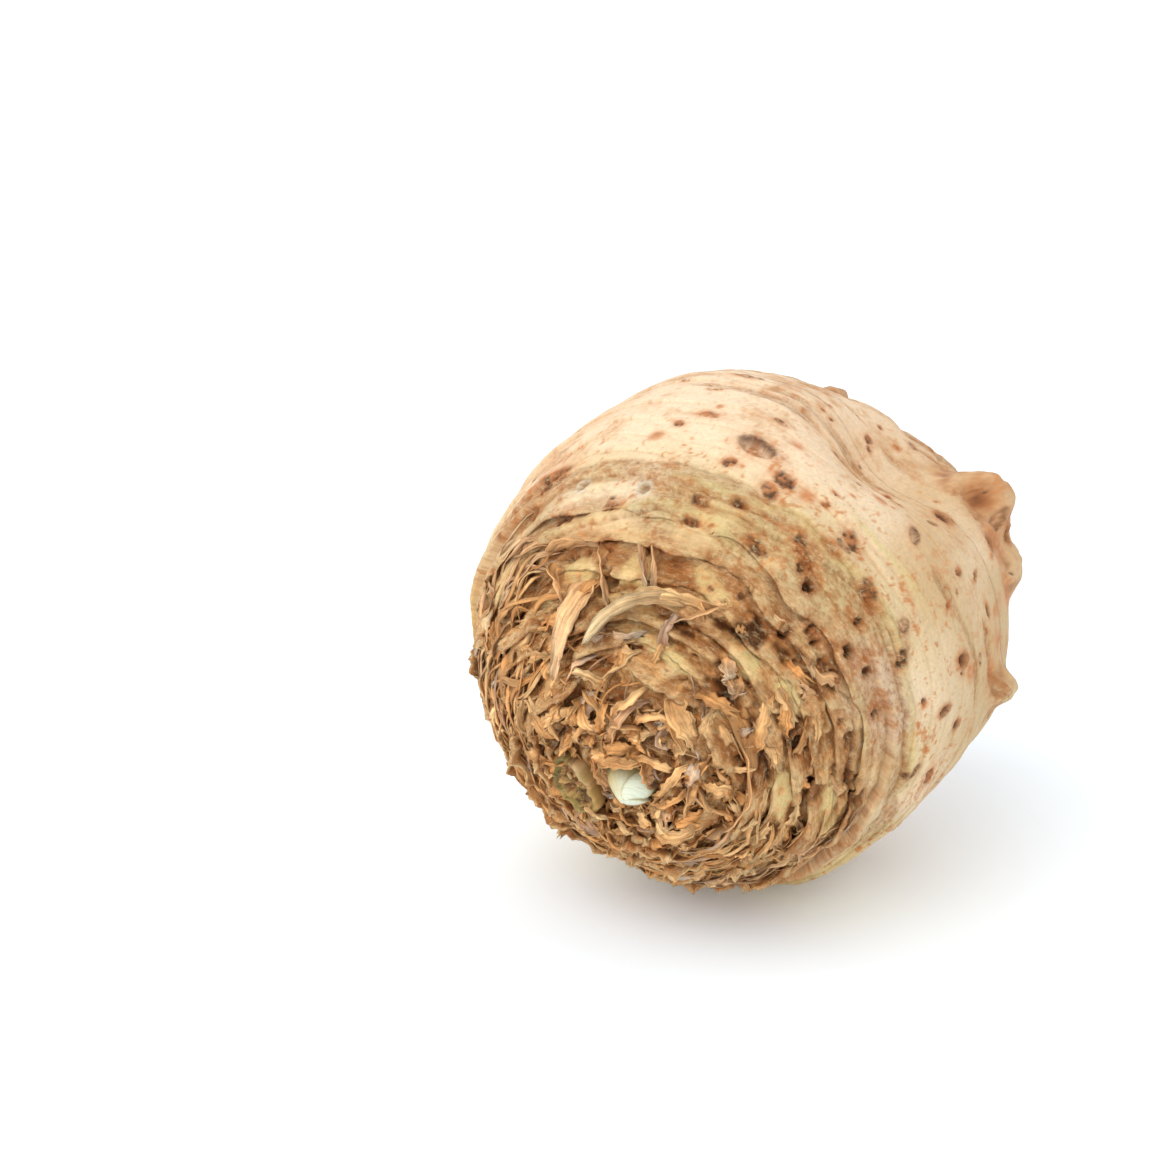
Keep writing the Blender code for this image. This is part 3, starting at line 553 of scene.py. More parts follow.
def skin_relief(angle, u, place):
    """Height added to the rings, and the weights that colour it; the low weight is painted shade in the
    hollows.
    """
    # Where the husks end, and where the skin is coarse or smooth
    wide = 11.0 * bell(turn_of(u), -82.0, 40.0) + 3.0 * layered(u, 0.2, 66, 3)
    husk = 1.0 - step_up(44.0, 60.0, angle - wide)
    bare = 1.0 - husk
    warp = np.stack([2.6 * layered(u, 0.30, 81, 2), 0.0 * angle, 0.0 * angle], -1)
    band = ringed(place + warp, 0.12, 5.2, 71, 3, 0.5) + np.interp(angle, COARSE_ANGLES, COARSE_SHARES)
    band = band + 0.22 * smooth_noise(u, 0.45, 75) + 0.16 * smooth_noise(u, 0.13, 76)
    coarse = step_up(-0.10, 0.14, band)
    facet = step_up(0.10, 0.32, layered(u, 0.17, 45, 2)) * step_up(20.0, 30.0, angle)
    facet = np.maximum(facet * (1.0 - 0.5 * coarse), named_facets(u)) * husk
    rough = 1.0 - facet
    coarse = coarse * rough
    # Fine forms: grit, creases, puffed and torn husk, pits and soft folds
    grit = np.abs(ringed(place, 0.45, 1.7, 77, 3, 0.6))
    crease = ringed(place, 0.15, 1.5, 51, 3, 0.6)
    swirl = 3.0 * np.stack([layered(u, 0.16, seed, 2) for seed in (85, 86, 87)], -1)
    puff = 0.5 - 2.2 * np.abs(ringed(place + swirl, 0.5, 5.5, 53, 2, 0.5))
    torn = 1.0 - np.minimum(np.abs(ringed(place + 1.3 * swirl, 0.36, 3.4, 58, 2)) / 0.20, 1.0)
    torn = torn ** 2 * step_up(-0.25, 0.20, layered(u, 0.20, 56, 2))
    soft = ringed(place + 0.7 * warp, 0.11, 8.0, 67, 3, 0.5)
    soft = soft * step_up(58.0, 70.0, angle) * step_up(134.0, 112.0, angle)
    dug = step_up(0.14, 0.42, ringed(place, 0.6, 3.8, 57, 3, 0.6)) * husk * step_up(7.0, 14.0, angle) * rough
    edge = bell(band, 0.0, 0.035) * bare * step_up(-0.1, 0.25, smooth_noise(u, 0.25, 61))
    step, groove, brow = long_folds(angle, u)
    cell = np.abs(layered(u, 0.27, 62, 3, 0.45))
    end = step_up(124.0, 144.0, angle)
    furrow = (1.0 - np.minimum(cell / 0.17, 1.0)) ** 1.6 * end
    height = 0.00016 * crease + 0.00030 * layered(u, 0.12, 54, 3, 0.55) + 0.0011 * soft
    height = height - 0.00028 * coarse * bare + 0.00085 * coarse * (grit - 0.16)
    height = height + husk * (1.0 - 0.75 * facet) * (0.00050 * crease + 0.00110 * puff + 0.00170 * torn)
    height = height + 0.0005 * facet - 0.0024 * dug - 0.00022 * edge + step - 0.0004 * groove
    height = height + end * (0.0060 * np.minimum(cell, 0.40) - 0.0010) - 0.0012 * furrow
    # Painted shade: low darkens the dug pits, fold grooves, band edges, the root end's furrows and the
    # troughs between the husk's puffs and tears.
    low = 0.9 * dug + 0.70 * groove + 0.45 * edge * step_up(120.0, 95.0, angle)
    low = low + husk * rough * held(0.42 - 1.1 * puff - 0.8 * torn, 0.7)
    low = low + 0.85 * furrow * (0.6 + 0.8 * held(grit * 3.0))
    return height, {
        "husk": husk, "coarse": coarse * (1.0 - 0.8 * brow), "facet": facet, "grit": grit, "puff": puff,
        "low": low, "crease": crease, "torn": torn * rough, "brow": brow,
    }


def skin_colour(angle, u, points, place, weights, cavity_shade, marks, lip):
    """Colour of the skin from its zone, relief and scars, with painted shade in the hollows, under the lips
    and on the side turned from the light, and painted highlight on the lips and raised husk.
    """
    husk, coarse, brow = weights["husk"], weights["coarse"], weights["brow"]
    dark, rust, pale = marks
    zone = angle + 5.0 * layered(u, 0.35, 31, 3)
    tone = layered(u, 0.42, 33, 3)
    streak = ringed(place, 0.16, 1.3, 35)
    blotch = layered(u, 0.10, 37, 4, 0.65)
    fleck = ringed(place, 0.6, 1.1, 39, 3, 0.65)
    grain = held(0.30 + 2.4 * fleck)
    spots = step_up(0.17, 0.46, layered(points, 0.0012, 47, 3, 0.70) + 0.50 * blotch)
    green = bell(zone, 62.0, 13.0) * step_up(-0.35, 0.35, layered(u, 0.4, 43, 2) + 0.15)
    # Painted shade: side marks the side about turn 88, turned from the light, which is laid over with a
    # darkened colour below.
    side = bell(turn_of(u), 88.0, 40.0) * step_up(64.0, 88.0, zone)
    skin = layers_over(CREAM, (
        (WARM, 0.85 * step_up(-0.25, 0.70, tone + 0.18 * streak + 0.25 * blotch)),
        (GREENISH, 0.75 * green),
        (mix(WARM, GREENISH, 0.5) * 0.76, (0.74 + 0.5 * tone) * side),
        (STAIN, step_up(84.0, 148.0, zone) * (0.22 + 0.62 * step_up(-0.2, 0.45, blotch))),
        (WARM * 0.86, 0.42 * step_up(0.02, 0.40, blotch + 0.35 * fleck)),
        (mix(TAN, RUST, 0.5), coarse * (0.15 + 0.60 * grain * step_up(-0.25, 0.35, blotch))),
        (BROWN, coarse * step_up(0.14, 0.36, weights["grit"] + 0.5 * fleck) * 0.45),
        (mix(RUST, BROWN, 0.5), 0.85 * spots * (1.0 - coarse) * (1.0 - 0.60 * step_up(74.0, 90.0, zone))),
        (GREENISH, 0.55 * brow),
    ))
    # Husk colour by relief height, brown in the low parts and straw on the high ones: partly the husk's own
    # colour, partly painted shade and painted highlight.
    height = 0.34 + 0.45 * weights["puff"] + 0.8 * weights["crease"] + 0.5 * streak + 0.5 * weights["torn"]
    fibre = layers_over(BROWN, (
        (TAN, step_up(0.0, 0.55, height)),
        (STRAW, 0.85 * step_up(0.5, 1.0, height)),
        (RUST, 0.35 * step_up(0.0, 0.4, blotch)),
        (PALE_FACET, 0.60 * brow),
        (PALE_FACET, 0.86 * weights["facet"] * (1.0 - 0.75 * step_up(0.02, 0.32, fleck))),
    ))
    # Painted light: STRAW along the lips is painted highlight; BROWN and DARK by the hollow and under-lip
    # weights are painted shade.
    low = held(cavity_shade + weights["low"], 1.3)
    colour = layers_over(mix(skin, fibre, husk), (
        (STRAW, 0.75 * lip * husk),
        (BROWN, held(low) * (0.50 + 0.30 * husk)),
        (DARK, held(1.3 * low - 0.75) * 0.85),
        (RUST, held(rust) * 0.80),
        (DARK, held(dark) * 0.90),
        (WHITE, held(pale) * 0.8),
    ))
    return np.clip(colour, 0.004, 1.0)


def skin_profile(rows, turns):
    """Angle before tilting, height, painted shade under the lips and painted highlight weight on the lips,
    along the rows.
    """
    out = []
    for index, share in rows:
        angle, height = ring_profile(index, share, turns)
        husk = index >= 0 and EDGES[min(index, RING_COUNT - 1)] < HUSK_END
        full = lip_height(max(index, 0), turns)
        # Painted shade: darkest just under a lip and again where the row runs under the next lip, weaker on
        # bare skin.
        deep = max(0.0, 1.0 - share / (1.1 * (0.22 if husk else 0.10))) + 0.55 * step_up(0.86, 1.0, share)
        deep = deep * (1.0 if husk else 0.55)
        cavity_shade = deep * held(full / 0.0014) if 0 <= index < RING_COUNT else 0.0 * turns
        # The last value is the weight of the painted highlight along the top of each lip.
        out.append((angle, height, cavity_shade, bell(share, 0.36, 0.10) * held(full / 0.002)))
    return [np.concatenate(values) for values in zip(*out)]


def skin_piece(name, first, last, columns, spacing, material):
    """One stretch of skin between two angles from the crown."""
    turns = np.arange(columns) * 360.0 / columns - 180.0
    rows = skin_rows(first, last, spacing)
    count = len(rows)
    angle, height, cavity_shade, lip = skin_profile(rows, turns)
    turn = np.tile(turns, count)
    first_u = direction(angle, turn)
    sway = step_up(8.0, 18.0, angle) * (1.0 - step_up(62.0, 76.0, angle))
    angle = angle + sway * (2.4 * smooth_noise(first_u, 0.24, 91) + 1.0 * smooth_noise(first_u, 0.11, 93))
    angle = ring_angle(angle, turn)
    u = direction(angle, turn)
    place = ring_coordinates(angle, turn)
    plain = HEART + 0.058 * u
    added, weights = skin_relief(angle, u, place)
    lift, *marks = scar_marks(u, plain)
    height = height * (1.0 - 0.7 * weights["facet"]) + added + lift
    for centre, reach, depth in SEATS:
        height = height - depth * bell(angle_between(u, direction(*centre)), 0.0, reach, 4)
    if last < 180.0:
        sunk = np.zeros(count)
        sunk[-OVERLAP_ROWS:] = OVERLAP_DIP * np.arange(1, OVERLAP_ROWS + 1)
        height = height - np.repeat(sunk, columns)
    points = HEART + (form_radius(u) + height)[:, None] * u
    points[:, 2] = np.maximum(points[:, 2], 0.0)
    colour = skin_colour(angle, u, plain, place, weights, cavity_shade, marks, lip)
    rim_zone = bell(angle, 57.0, 13.0) * step_up(-0.45, 0.25, layered(u, 0.16, 64, 3))
    root_zone = step_up(112.0, 140.0, angle) * step_up(-0.30, 0.35, layered(u, 0.25, 65, 3))
    crust = 0.90 * weights["coarse"] + 0.90 * rim_zone * (1.0 - weights["facet"]) + 0.75 * root_zone
    fibrous = weights["husk"] * (1.0 - 0.55 * weights["facet"])
    zone = np.stack([fibrous, held(crust), np.zeros(len(u))], -1)
    ends = [points[:columns].mean(0)] if first == 0.0 else []
    ends += [points[-columns:].mean(0)] if last == 180.0 else []
    piece = grid_mesh(name, points, count, columns, ends, first == 0.0, last == 180.0)
    for layer, values in (("tint", colour), ("zone", zone), ("place", place)):
        paint(piece, layer, np.concatenate([values, np.repeat(values[:1], len(ends), 0)]))
    piece.data.materials.append(material)
    return piece


def ring_quads(count, columns):
    """Faces between rings of points, seen from inside the rings."""
    i = np.arange(count - 1)[:, None] * columns
    j = np.arange(columns)[None, :]
    k = (j + 1) % columns
    return np.stack([i + j, i + k, i + columns + k, i + columns + j], -1).reshape(-1, 4)


def grid_mesh(name, points, count, columns, ends, closed_start, closed_end):
    """Mesh from rings of points, with a fan where an end is closed."""
    faces = [ring_quads(count, columns)[:, [0, 3, 2, 1]]]
    ring = np.arange(columns)
    total = count * columns
    if closed_start:
        faces.append(np.stack([ring, np.roll(ring, -1), np.full(columns, total)], -1))
        total += 1
    if closed_end:
        ring = (count - 1) * columns + ring
        faces.append(np.stack([np.roll(ring, -1), ring, np.full(columns, total)], -1))
    return raw_mesh(name, np.concatenate([points] + [np.array([end]) for end in ends]), faces)


def raw_mesh(name, points, faces):
    """Smooth-shaded object from points and arrays of faces."""
    mesh = bpy.data.meshes.new(name)
    loops = np.concatenate([f.reshape(-1) for f in faces])
    sizes = np.concatenate([np.full(len(f), f.shape[1]) for f in faces])
    mesh.vertices.add(len(points))
    mesh.vertices.foreach_set("co", np.asarray(points, np.float32).reshape(-1))
    mesh.loops.add(len(loops))
    mesh.loops.foreach_set("vertex_index", loops.astype(np.int32))
    mesh.polygons.add(len(sizes))
    mesh.polygons.foreach_set("loop_start", np.concatenate([[0], np.cumsum(sizes)[:-1]]).astype(np.int32))
    mesh.polygons.foreach_set("loop_total", sizes.astype(np.int32))
    mesh.polygons.foreach_set("use_smooth", np.ones(len(sizes), bool))
    mesh.update(calc_edges=True)
    mesh.validate()
    item = bpy.data.objects.new(name, mesh)
    bpy.context.scene.collection.objects.link(item)
    return item


def paint(item, name, values):
    """Colour or vector for each point of a mesh."""
    vector = name in ("place", "grain")
    layer = item.data.attributes.new(name, "FLOAT_VECTOR" if vector else "FLOAT_COLOR", "POINT")
    if not vector:
        values = np.concatenate([values, np.ones((len(values), 1))], 1)
    layer.data.foreach_set("vector" if vector else "color", np.asarray(values, np.float32).reshape(-1))


# Husks and roots
STATIONS = 17
SHARE = np.linspace(0.0, 1.0, STATIONS)
# Distance from the heart by which the lengths of strips are laid out
STRIP_RADIUS = 0.057
# Nearer the crown's centre, strips turn no faster than here
CROWN_SINE = math.sin(math.radians(9.0))
# Section of a cut root stub: share of its radius and of its height
STUB_COLUMNS = 18
STUB_PROFILE = (
    (0.05, -0.9), (2.6, -0.6), (1.75, 0.0), (1.32, 0.45), (1.10, 0.85), (1.0, 1.0), (0.88, 1.03),
    (0.60, 0.92), (0.30, 0.96), (0.02, 1.0),
)
# Strips in front of the crown, sizes in millimetres: angles, turns, heights, widths, twists,
# curl, thickness, colour of the foot and of the tip, raggedness
NAMED_STRIPS = (
    ((43.5, 42.0, 40.5, 38.5, 34.5, 30.0), (24.0, 16.0, 9.0, 2.0, -7.0, -15.5),
     (-1.0, 1.6, 3.0, 3.8, 4.0, 3.0), (1.4, 2.4, 2.8, 3.2, 3.6, 2.6), (20.0, 15.0, -5.0, -25.0, -38.0, -30.0),
     0.36, 0.8, linear(190, 146, 98), linear(222, 196, 150), 0.25),
    ((46.0, 43.6, 42.6, 42.0, 41.0, 38.6), (33.0, 26.0, 18.0, 10.0, 3.0, -4.0),
     (-1.0, 1.2, 2.4, 2.8, 2.4, -0.4), (1.6, 2.4, 2.6, 2.4, 2.0, 1.4), (50.0, 35.0, 15.0, 30.0),
     0.30, 0.8, mix(BROWN, TAN, 0.7), STRAW, 0.30),
    ((44.0, 40.0, 35.0, 30.0, 26.0), (-15.0, -18.5, -23.5, -29.0, -35.5),
     (-1.0, 2.0, 3.0, 3.4, 2.8), (6.4, 5.4, 4.4, 3.4, 1.6), (-12.0, -6.0, 4.0, 16.0, 26.0),
     0.18, 0.50, mix(TAN, CREAM, 0.15), mix(TAN, CREAM, 0.45), 0.22),
)
LOW_STRIP = (
    (29.0, 27.5, 25.5, 23.5, 22.0), (52.0, 74.0, 96.0, 116.0, 134.0),
    (-0.8, 1.0, 1.6, 1.2, -0.4), (4.0, 5.8, 6.2, 5.4, 3.6), (58.0, 66.0, 78.0),
    0.14, 0.55, mix(BROWN, TAN, 0.6), mix(TAN, CREAM, 0.25), 0.2,
)
# Short flat strips: angles, turns, paleness of the tip
SHORT_STRIPS = (
    ((51.0, 37.0), (-13.6, -10.0), 0.45), ((52.5, 39.5), (-2.6, 4.0), 0.75), ((52.0, 40.5), (1.2, 6.0), 0.55),
    ((49.5, 38.0), (-31.0, -26.0), 0.35), ((52.0, 50.0), (-32.0, -14.0), 0.3),
    ((45.0, 36.0), (30.0, 12.0), 0.4),
)
# Strands round the bud: width, height, twist, tone, then angle and turn along each
STRANDS = (
    (0.0014, 0.0030, 20.0, STRAW, (6.2, 122.0), (9.7, 79.9), (14.5, 65.8), (19.0, 70.9)),
    (0.0013, 0.0034, 30.0, STRAW, (6.6, 20.0), (9.6, 40.0), (11.5, 58.9), (12.0, 71.2)),
    (0.0026, 0.0036, 35.0, GREY, (8.5, -19.1), (11.1, -6.1), (15.0, 3.9), (18.3, 9.7), (20.2, 18.0)),
    (0.0016, 0.0034, 10.0, STRAW, (13.3, -8.7), (17.7, 0.7), (19.7, 8.8), (22.5, 14.0)),
    (0.0013, 0.0036, -10.0, STRAW, (13.7, 10.8), (17.5, 17.5), (19.5, 28.8), (19.0, 38.0)),
    (0.0036, 0.0030, 30.0, STRAW, (23.8, 27.0), (21.8, 36.0), (20.2, 46.0), (18.9, 60.3)),
    (0.0014, 0.0034, 60.0, STRAW, (19.9, 28.5), (18.1, 42.2), (17.0, 55.1), (18.3, 66.4)),
    (0.0020, 0.0030, 50.0, STRAW, (15.4, 76.2), (13.9, 92.3), (13.6, 110.0), (14.6, 124.2)),
    (0.0018, 0.0034, 15.0, STRAW, (18.4, -26.0), (15.0, -25.5), (11.4, -24.3)),
    (0.0016, 0.0034, 40.0, TAN, (18.3, -10.0), (14.6, -13.5), (11.6, -23.0)),
    (0.0020, 0.0034, 20.0, STRAW, (20.4, -66.3), (18.9, -50.8), (17.3, -36.8)),
    (0.0012, 0.0024, 10.0, TAN, (6.8, 142.3), (9.6, 112.0), (13.7, 92.9)),
    (0.0022, 0.0034, 30.0, STRAW, (16.8, 84.4), (18.9, 86.0), (21.0, 88.0), (22.8, 95.3)),
    (0.0020, 0.0030, 70.0, GREY, (8.4, -47.0), (6.4, -62.0), (4.9, -106.0), (6.0, -140.0)),
    (0.0022, 0.0028, 20.0, GREY, (12.0, 150.0), (11.0, 132.0), (11.6, 118.0)),
    (0.0020, 0.0030, 50.0, STRAW, (24.0, 110.0), (21.0, 104.0), (17.0, 100.0), (15.0, 96.0)),
    (0.0026, 0.0028, 30.0, STRAW, (13.0, 160.0), (15.0, 150.0), (17.0, 138.0), (18.0, 124.0)),
    (0.0024, 0.0024, 30.0, WHITE, (36.0, 36.0), (34.5, 40.0), (32.5, 42.0)),
    (0.0020, 0.0022, 50.0, WHITE, (33.0, 41.0), (32.4, 46.0), (33.6, 50.0)),
    (0.0018, 0.0020, 60.0, GREY, (34.6, 44.0), (33.0, 47.5), (31.0, 48.0)),
    (0.0024, 0.0044, 60.0, STRAW, (8.0, -60.0), (5.6, -25.0), (5.4, 22.0), (7.4, 44.0)),
    (0.0026, 0.0040, 70.0, GREY, (7.4, 40.0), (6.2, 62.0), (6.0, 90.0)),
    (0.0022, 0.0034, 40.0, TAN, (7.6, -30.0), (8.2, -8.0), (8.0, 16.0)),
)


def husk_strip(angles, turns, heights, widths, twists, curl, thick, pick, base, tip, ragged, across=6):
    """Points and colours of one torn strip with a crumpled, cupped section, the colours with painted shade on
    the back face and in the crumple valleys and painted highlight on the crests.
    """
    normal = direction(angles, turns)
    centre = HEART + (form_radius(normal) + heights)[:, None] * normal
    along = np.gradient(centre, axis=0)
    along /= np.linalg.norm(along, axis=1)[:, None] + 1e-12
    side = np.cross(along, normal)
    side /= np.linalg.norm(side, axis=1)[:, None] + 1e-12
    rise = np.cross(side, along)
    t = np.radians(twists)[:, None]
    wide = np.cos(t) * side + np.sin(t) * rise
    high = np.cos(t) * rise - np.sin(t) * side
    torn = 1.0 + ragged * (2.0 * pick.random((STATIONS, 2)) - 1.0)
    folds = pick.uniform(0.0, 6.3)
    many = pick.uniform(1.2, 3.0)
    split = pick.uniform(-1.0, 1.0, (2, across)) * np.minimum(0.9 * widths.mean(), 0.0018)
    length = np.concatenate([[0.0], np.cumsum(np.linalg.norm(np.diff(centre, axis=0), axis=1))])
    offset = pick.uniform(0.0, 400.0)
    tone = base + (tip - base) * held(SHARE + 0.25 * (pick.random() - 0.5))[:, None]
    points, shades, grains = [], [], []
    v = np.linspace(-1.0, 1.0, across)
    for back, places in ((0, range(across)), (1, range(across - 1, -1, -1))):
        for place in places:
            value = v[place]
            reach = 0.5 * widths * (torn[:, 0] if value > 0.0 else torn[:, 1]) * value
            crumple = 0.09 * widths * np.sin(many * value + folds + 7.0 * SHARE)
            ripple = np.sin(19.0 * SHARE + 2.0 * value + folds) * np.sin(9.0 * SHARE + folds)
            crumple = crumple + 0.09 * widths * ripple
            lift = curl * widths * value ** 2 + crumple + (0.5 - back) * thick * (1.0 - 0.45 * abs(value))
            slide = split[0, place] * (1.0 - SHARE) ** 6 + split[1, place] * SHARE ** 4
            points.append(centre + reach[:, None] * wide + lift[:, None] * high + slide[:, None] * along)
            # Painted shade: the back face is a quarter darker and the crumple valleys darker; the crests get
            # painted highlight.
            crumple_shade = held(0.5 - crumple / (0.26 * widths + 1e-9))
            shades.append(np.clip(tone * (1.0 - 0.25 * back) * (1.18 - 0.46 * crumple_shade)[:, None], 0.003, 1.0))
            over = 0.5 * widths * value / MM
            grains.append(np.stack([length / MM + offset, over + offset, np.full(STATIONS, offset)], -1))
    ring = 2 * across
    caps = []
    for start in (0, (STATIONS - 1) * ring):
        for a in range(across - 1):
            quad = [start + a, start + a + 1, start + ring - 2 - a, start + ring - 1 - a]
            caps.append(quad if start else quad[::-1])
    flat = [np.stack(values, 1).reshape(-1, 3) for values in (points, shades, grains)]
    return *flat, np.concatenate([ring_quads(STATIONS, ring), np.array(caps)])


def clear_of_plants(strips):
    """Strips that leave the bud and the cut stalk in sight."""
    spots = [(surface(angle, turn) + rise * direction(angle, turn), reach)
             for angle, turn, rise, reach in CLEARINGS]
    return [strip for strip in strips if all(
        np.linalg.norm(strip[0] - centre, axis=1).min() > reach for centre, reach in spots)]


def gather(name, strips, material):
    """One object from many strips."""
    points, shades, grains, quads = zip(*strips)
    starts = np.cumsum([0] + [len(p) for p in points[:-1]])
    faces = np.concatenate([faces + start for faces, start in zip(quads, starts)])
    item = raw_mesh(name, np.concatenate(points), [faces])
    paint(item, "tint", np.concatenate(shades))
    paint(item, "grain", np.concatenate(grains))
    item.data.materials.append(material)
    return item


def wiggle(pick, size):
    """Smooth wandering values along a strip."""
    return size * (
        pick.uniform(-1, 1) * np.sin(math.pi * (SHARE * pick.uniform(1.0, 2.4) + pick.random()))
        + 0.5 * pick.uniform(-1, 1) * np.sin(math.pi * (SHARE * pick.uniform(3.0, 5.5) + pick.random()))
    )


def wander(angle, turn, long, heading, least):
    """Angles and turns of a strip that sets off along a heading and bends."""
    reach = np.degrees(long / STRIP_RADIUS)
    angles = angle - np.cumsum(np.sin(heading)) / STATIONS * reach
    turns = np.cumsum(np.cos(heading)) / STATIONS * reach / max(least, math.sin(math.radians(angle)))
    return angles, turn + turns


def round_ring(angle, middle, long, most=180.0):
    """Turns of a strip that follows a ring."""
    half = min(np.degrees(0.5 * long / (STRIP_RADIUS * math.sin(math.radians(angle)))), most)
    return middle + np.linspace(-half, half, STATIONS)


def husk_tone(pick, angle):
    """Base and tip colours of one strip."""
    kind = pick.random()
    base = mix(BROWN, TAN, 0.05 + 0.75 * pick.random())
    if kind > 0.88:
        tip = mix(GREY, WHITE, 0.5 * pick.random())
    elif kind > 0.35:
        tip = mix(TAN, STRAW, 0.3 + 0.7 * pick.random())
    else:
        tip = mix(BROWN, TAN, 0.4 + 0.6 * pick.random())
    if angle > 44.0:
        base = mix(base, WARM, 0.35)
        tip = mix(tip, CREAM, 0.30)
    return base * pick.uniform(0.8, 1.1), tip * pick.uniform(0.80, 1.02)


def bare_side(angle, turn):
    """Whether a spot lies among the smooth leaf scars of the upper side."""
    turn = (turn + 180.0) % 360.0 - 180.0
    return angle > 27.0 and -42.0 < turn < 118.0


def standing_husks(pick, count):
    """Torn leaf edges that stand along the rings and lean to the crown."""
    strips = []
    for index in range(count):
        angle = 8.0 + 44.0 * ((index + 0.5) / count) ** 0.85
        middle = GOLDEN_TURN * index + pick.uniform(-20.0, 20.0)
        turns = round_ring(angle, middle, pick.uniform(0.005, 0.013) * (0.6 + 0.7 * angle / 56.0), 70.0)
        angles = ring_angle(angle + wiggle(pick, 1.6) + (SHARE - 0.5) * pick.normal(0.0, 7.0), turns)
        width = pick.uniform(0.0016, 0.0042) * (1.0 - 0.45 * step_up(44.0, 58.0, angle))
        width = width * (0.7 if angle > 22.0 and math.cos(math.radians(middle)) < 0.2 else 1.0)
        bow = np.sin(math.pi * SHARE) ** 0.6
        widths = np.abs(width * (0.50 + 0.50 * bow) * (1.0 + 0.25 * wiggle(pick, 1.0))) + 0.0004
        calm = step_up(22.0, 36.0, angle)
        heights = -0.0018 + (0.0012 + 0.42 * width * (1.0 - 0.3 * calm)) * bow + wiggle(pick, 0.0004)
        twists = (pick.uniform(28.0, 82.0) + wiggle(pick, 22.0)) * (1.0 - 0.45 * calm)
        base, tip = husk_tone(pick, angle)
        if bare_side(angle, middle) and pick.random() < 0.72:
            continue
        curl = pick.uniform(-0.25, 0.25)
        strips.append(husk_strip(
            angles, turns, heights, widths, twists, curl, 0.00055, pick, base, tip, 0.40))
    return clear_of_plants(strips)


def loose_husks(pick, count):
    """Strips that curl loose over the crown and lie calmer round its edge."""
    strips = []
    for index in range(count):
        angle = 6.0 + 42.0 * ((index + 0.5) / count) ** 0.70
        turn = GOLDEN_TURN * index + 41.0 + pick.uniform(-25.0, 25.0)
        calm = float(step_up(19.0, 33.0, angle))
        long = pick.uniform(0.0035, 0.0095) * (1.0 + 0.7 * calm)
        stray = pick.normal(0.0, 60.0) * (1.0 - 0.75 * calm)
        heading = math.radians(stray + (180.0 if pick.random() < 0.5 else 0.0))
        heading = heading + pick.uniform(-1.6, 1.6) * (1.0 - 0.75 * calm) * SHARE
        angles, turns = wander(angle, turn, long, heading, CROWN_SINE)
        angles = ring_angle(np.maximum(angles, 6.0), turns)
        width = pick.uniform(0.0012, 0.0036) * (1.20 - 0.4 * angle / 51.0)
        widths = width * (0.65 + 0.35 * np.sin(math.pi * SHARE)) * (1.0 - 0.25 * SHARE) + 0.0003
        top = pick.uniform(0.0012, 0.0036) * (1.0 - 0.42 * calm)
        arch = np.sin(np.clip(SHARE * pick.uniform(1.5, 2.6), 0.0, math.pi * 0.9))
        heights = -0.0016 + (top + 0.0016) * arch + wiggle(pick, 0.0004)
        twists = (pick.uniform(-45.0, 45.0) + pick.uniform(-80.0, 80.0) * SHARE) * (1.0 - 0.65 * calm)
        base, tip = husk_tone(pick, angle)
        if bare_side(angle, turn) and pick.random() < 0.80:
            continue
        curl = pick.uniform(-0.1, 0.40)
        strips.append(husk_strip(
            angles, turns, heights, widths, twists, curl, 0.00060, pick, base, tip, 0.40))
    return clear_of_plants(strips)


def fibres(pick, count):
    """Thin dry fibres on and over the torn leaf bases."""
    strips = []
    for _ in range(count):
        angle = 8.0 + 36.0 * pick.random() ** 0.7
        turn = pick.uniform(-180.0, 180.0)
        long = pick.uniform(0.003, 0.011)
        heading = pick.normal(0.0, 0.7) + (math.pi if pick.random() < 0.5 else 0.0)
        angles, turns = wander(angle, turn, long, heading + pick.uniform(-1.6, 1.6) * SHARE, CROWN_SINE)
        angles = ring_angle(np.maximum(angles, 5.0), turns)
        widths = pick.uniform(0.0003, 0.0010) * (1.0 - 0.5 * SHARE) + 0.0001
        heights = -0.0006 + pick.uniform(0.0012, 0.0038) * np.sin(SHARE * pick.uniform(1.2, 2.8))
        heights = heights + wiggle(pick, 0.0003)
        base, tip = husk_tone(pick, angle)
        if bare_side(angle, turn):
            continue
        twists = 0.0 * SHARE + pick.uniform(0.0, 90.0)
        strips.append(husk_strip(
            angles, turns, heights, widths, twists, 0.0, 0.00022, pick, base, tip, 0.1, 2))
    return clear_of_plants(strips)


def rim_fibres(pick, count):
    """Long thin fibres that follow the rings round the edge of the crown."""
    strips = []
    for _ in range(count):
        angle = pick.uniform(25.0, 55.0)
        middle = pick.uniform(112.0, 322.0)
        turns = round_ring(angle, middle, pick.uniform(0.007, 0.026))
        angles = ring_angle(angle + wiggle(pick, 1.5) + (SHARE - 0.5) * pick.normal(0.0, 4.0), turns)
        widths = pick.uniform(0.0005, 0.0017) * (0.4 + 0.6 * np.sin(math.pi * SHARE)) + 0.0001
        top = pick.uniform(0.0010, 0.0027) * (1.0 - 0.45 * step_up(42.0, 54.0, angle))
        heights = -0.0008 + (top + 0.0008) * np.sin(math.pi * SHARE) ** 0.5 + wiggle(pick, 0.0003)
        twists = pick.uniform(-25.0, 45.0) + wiggle(pick, 20.0)
        base, tip = husk_tone(pick, angle)
        strips.append(husk_strip(
            angles, turns, heights, widths, twists, 0.1, 0.0003, pick, base, tip, 0.3, 3))
    return clear_of_plants(strips)


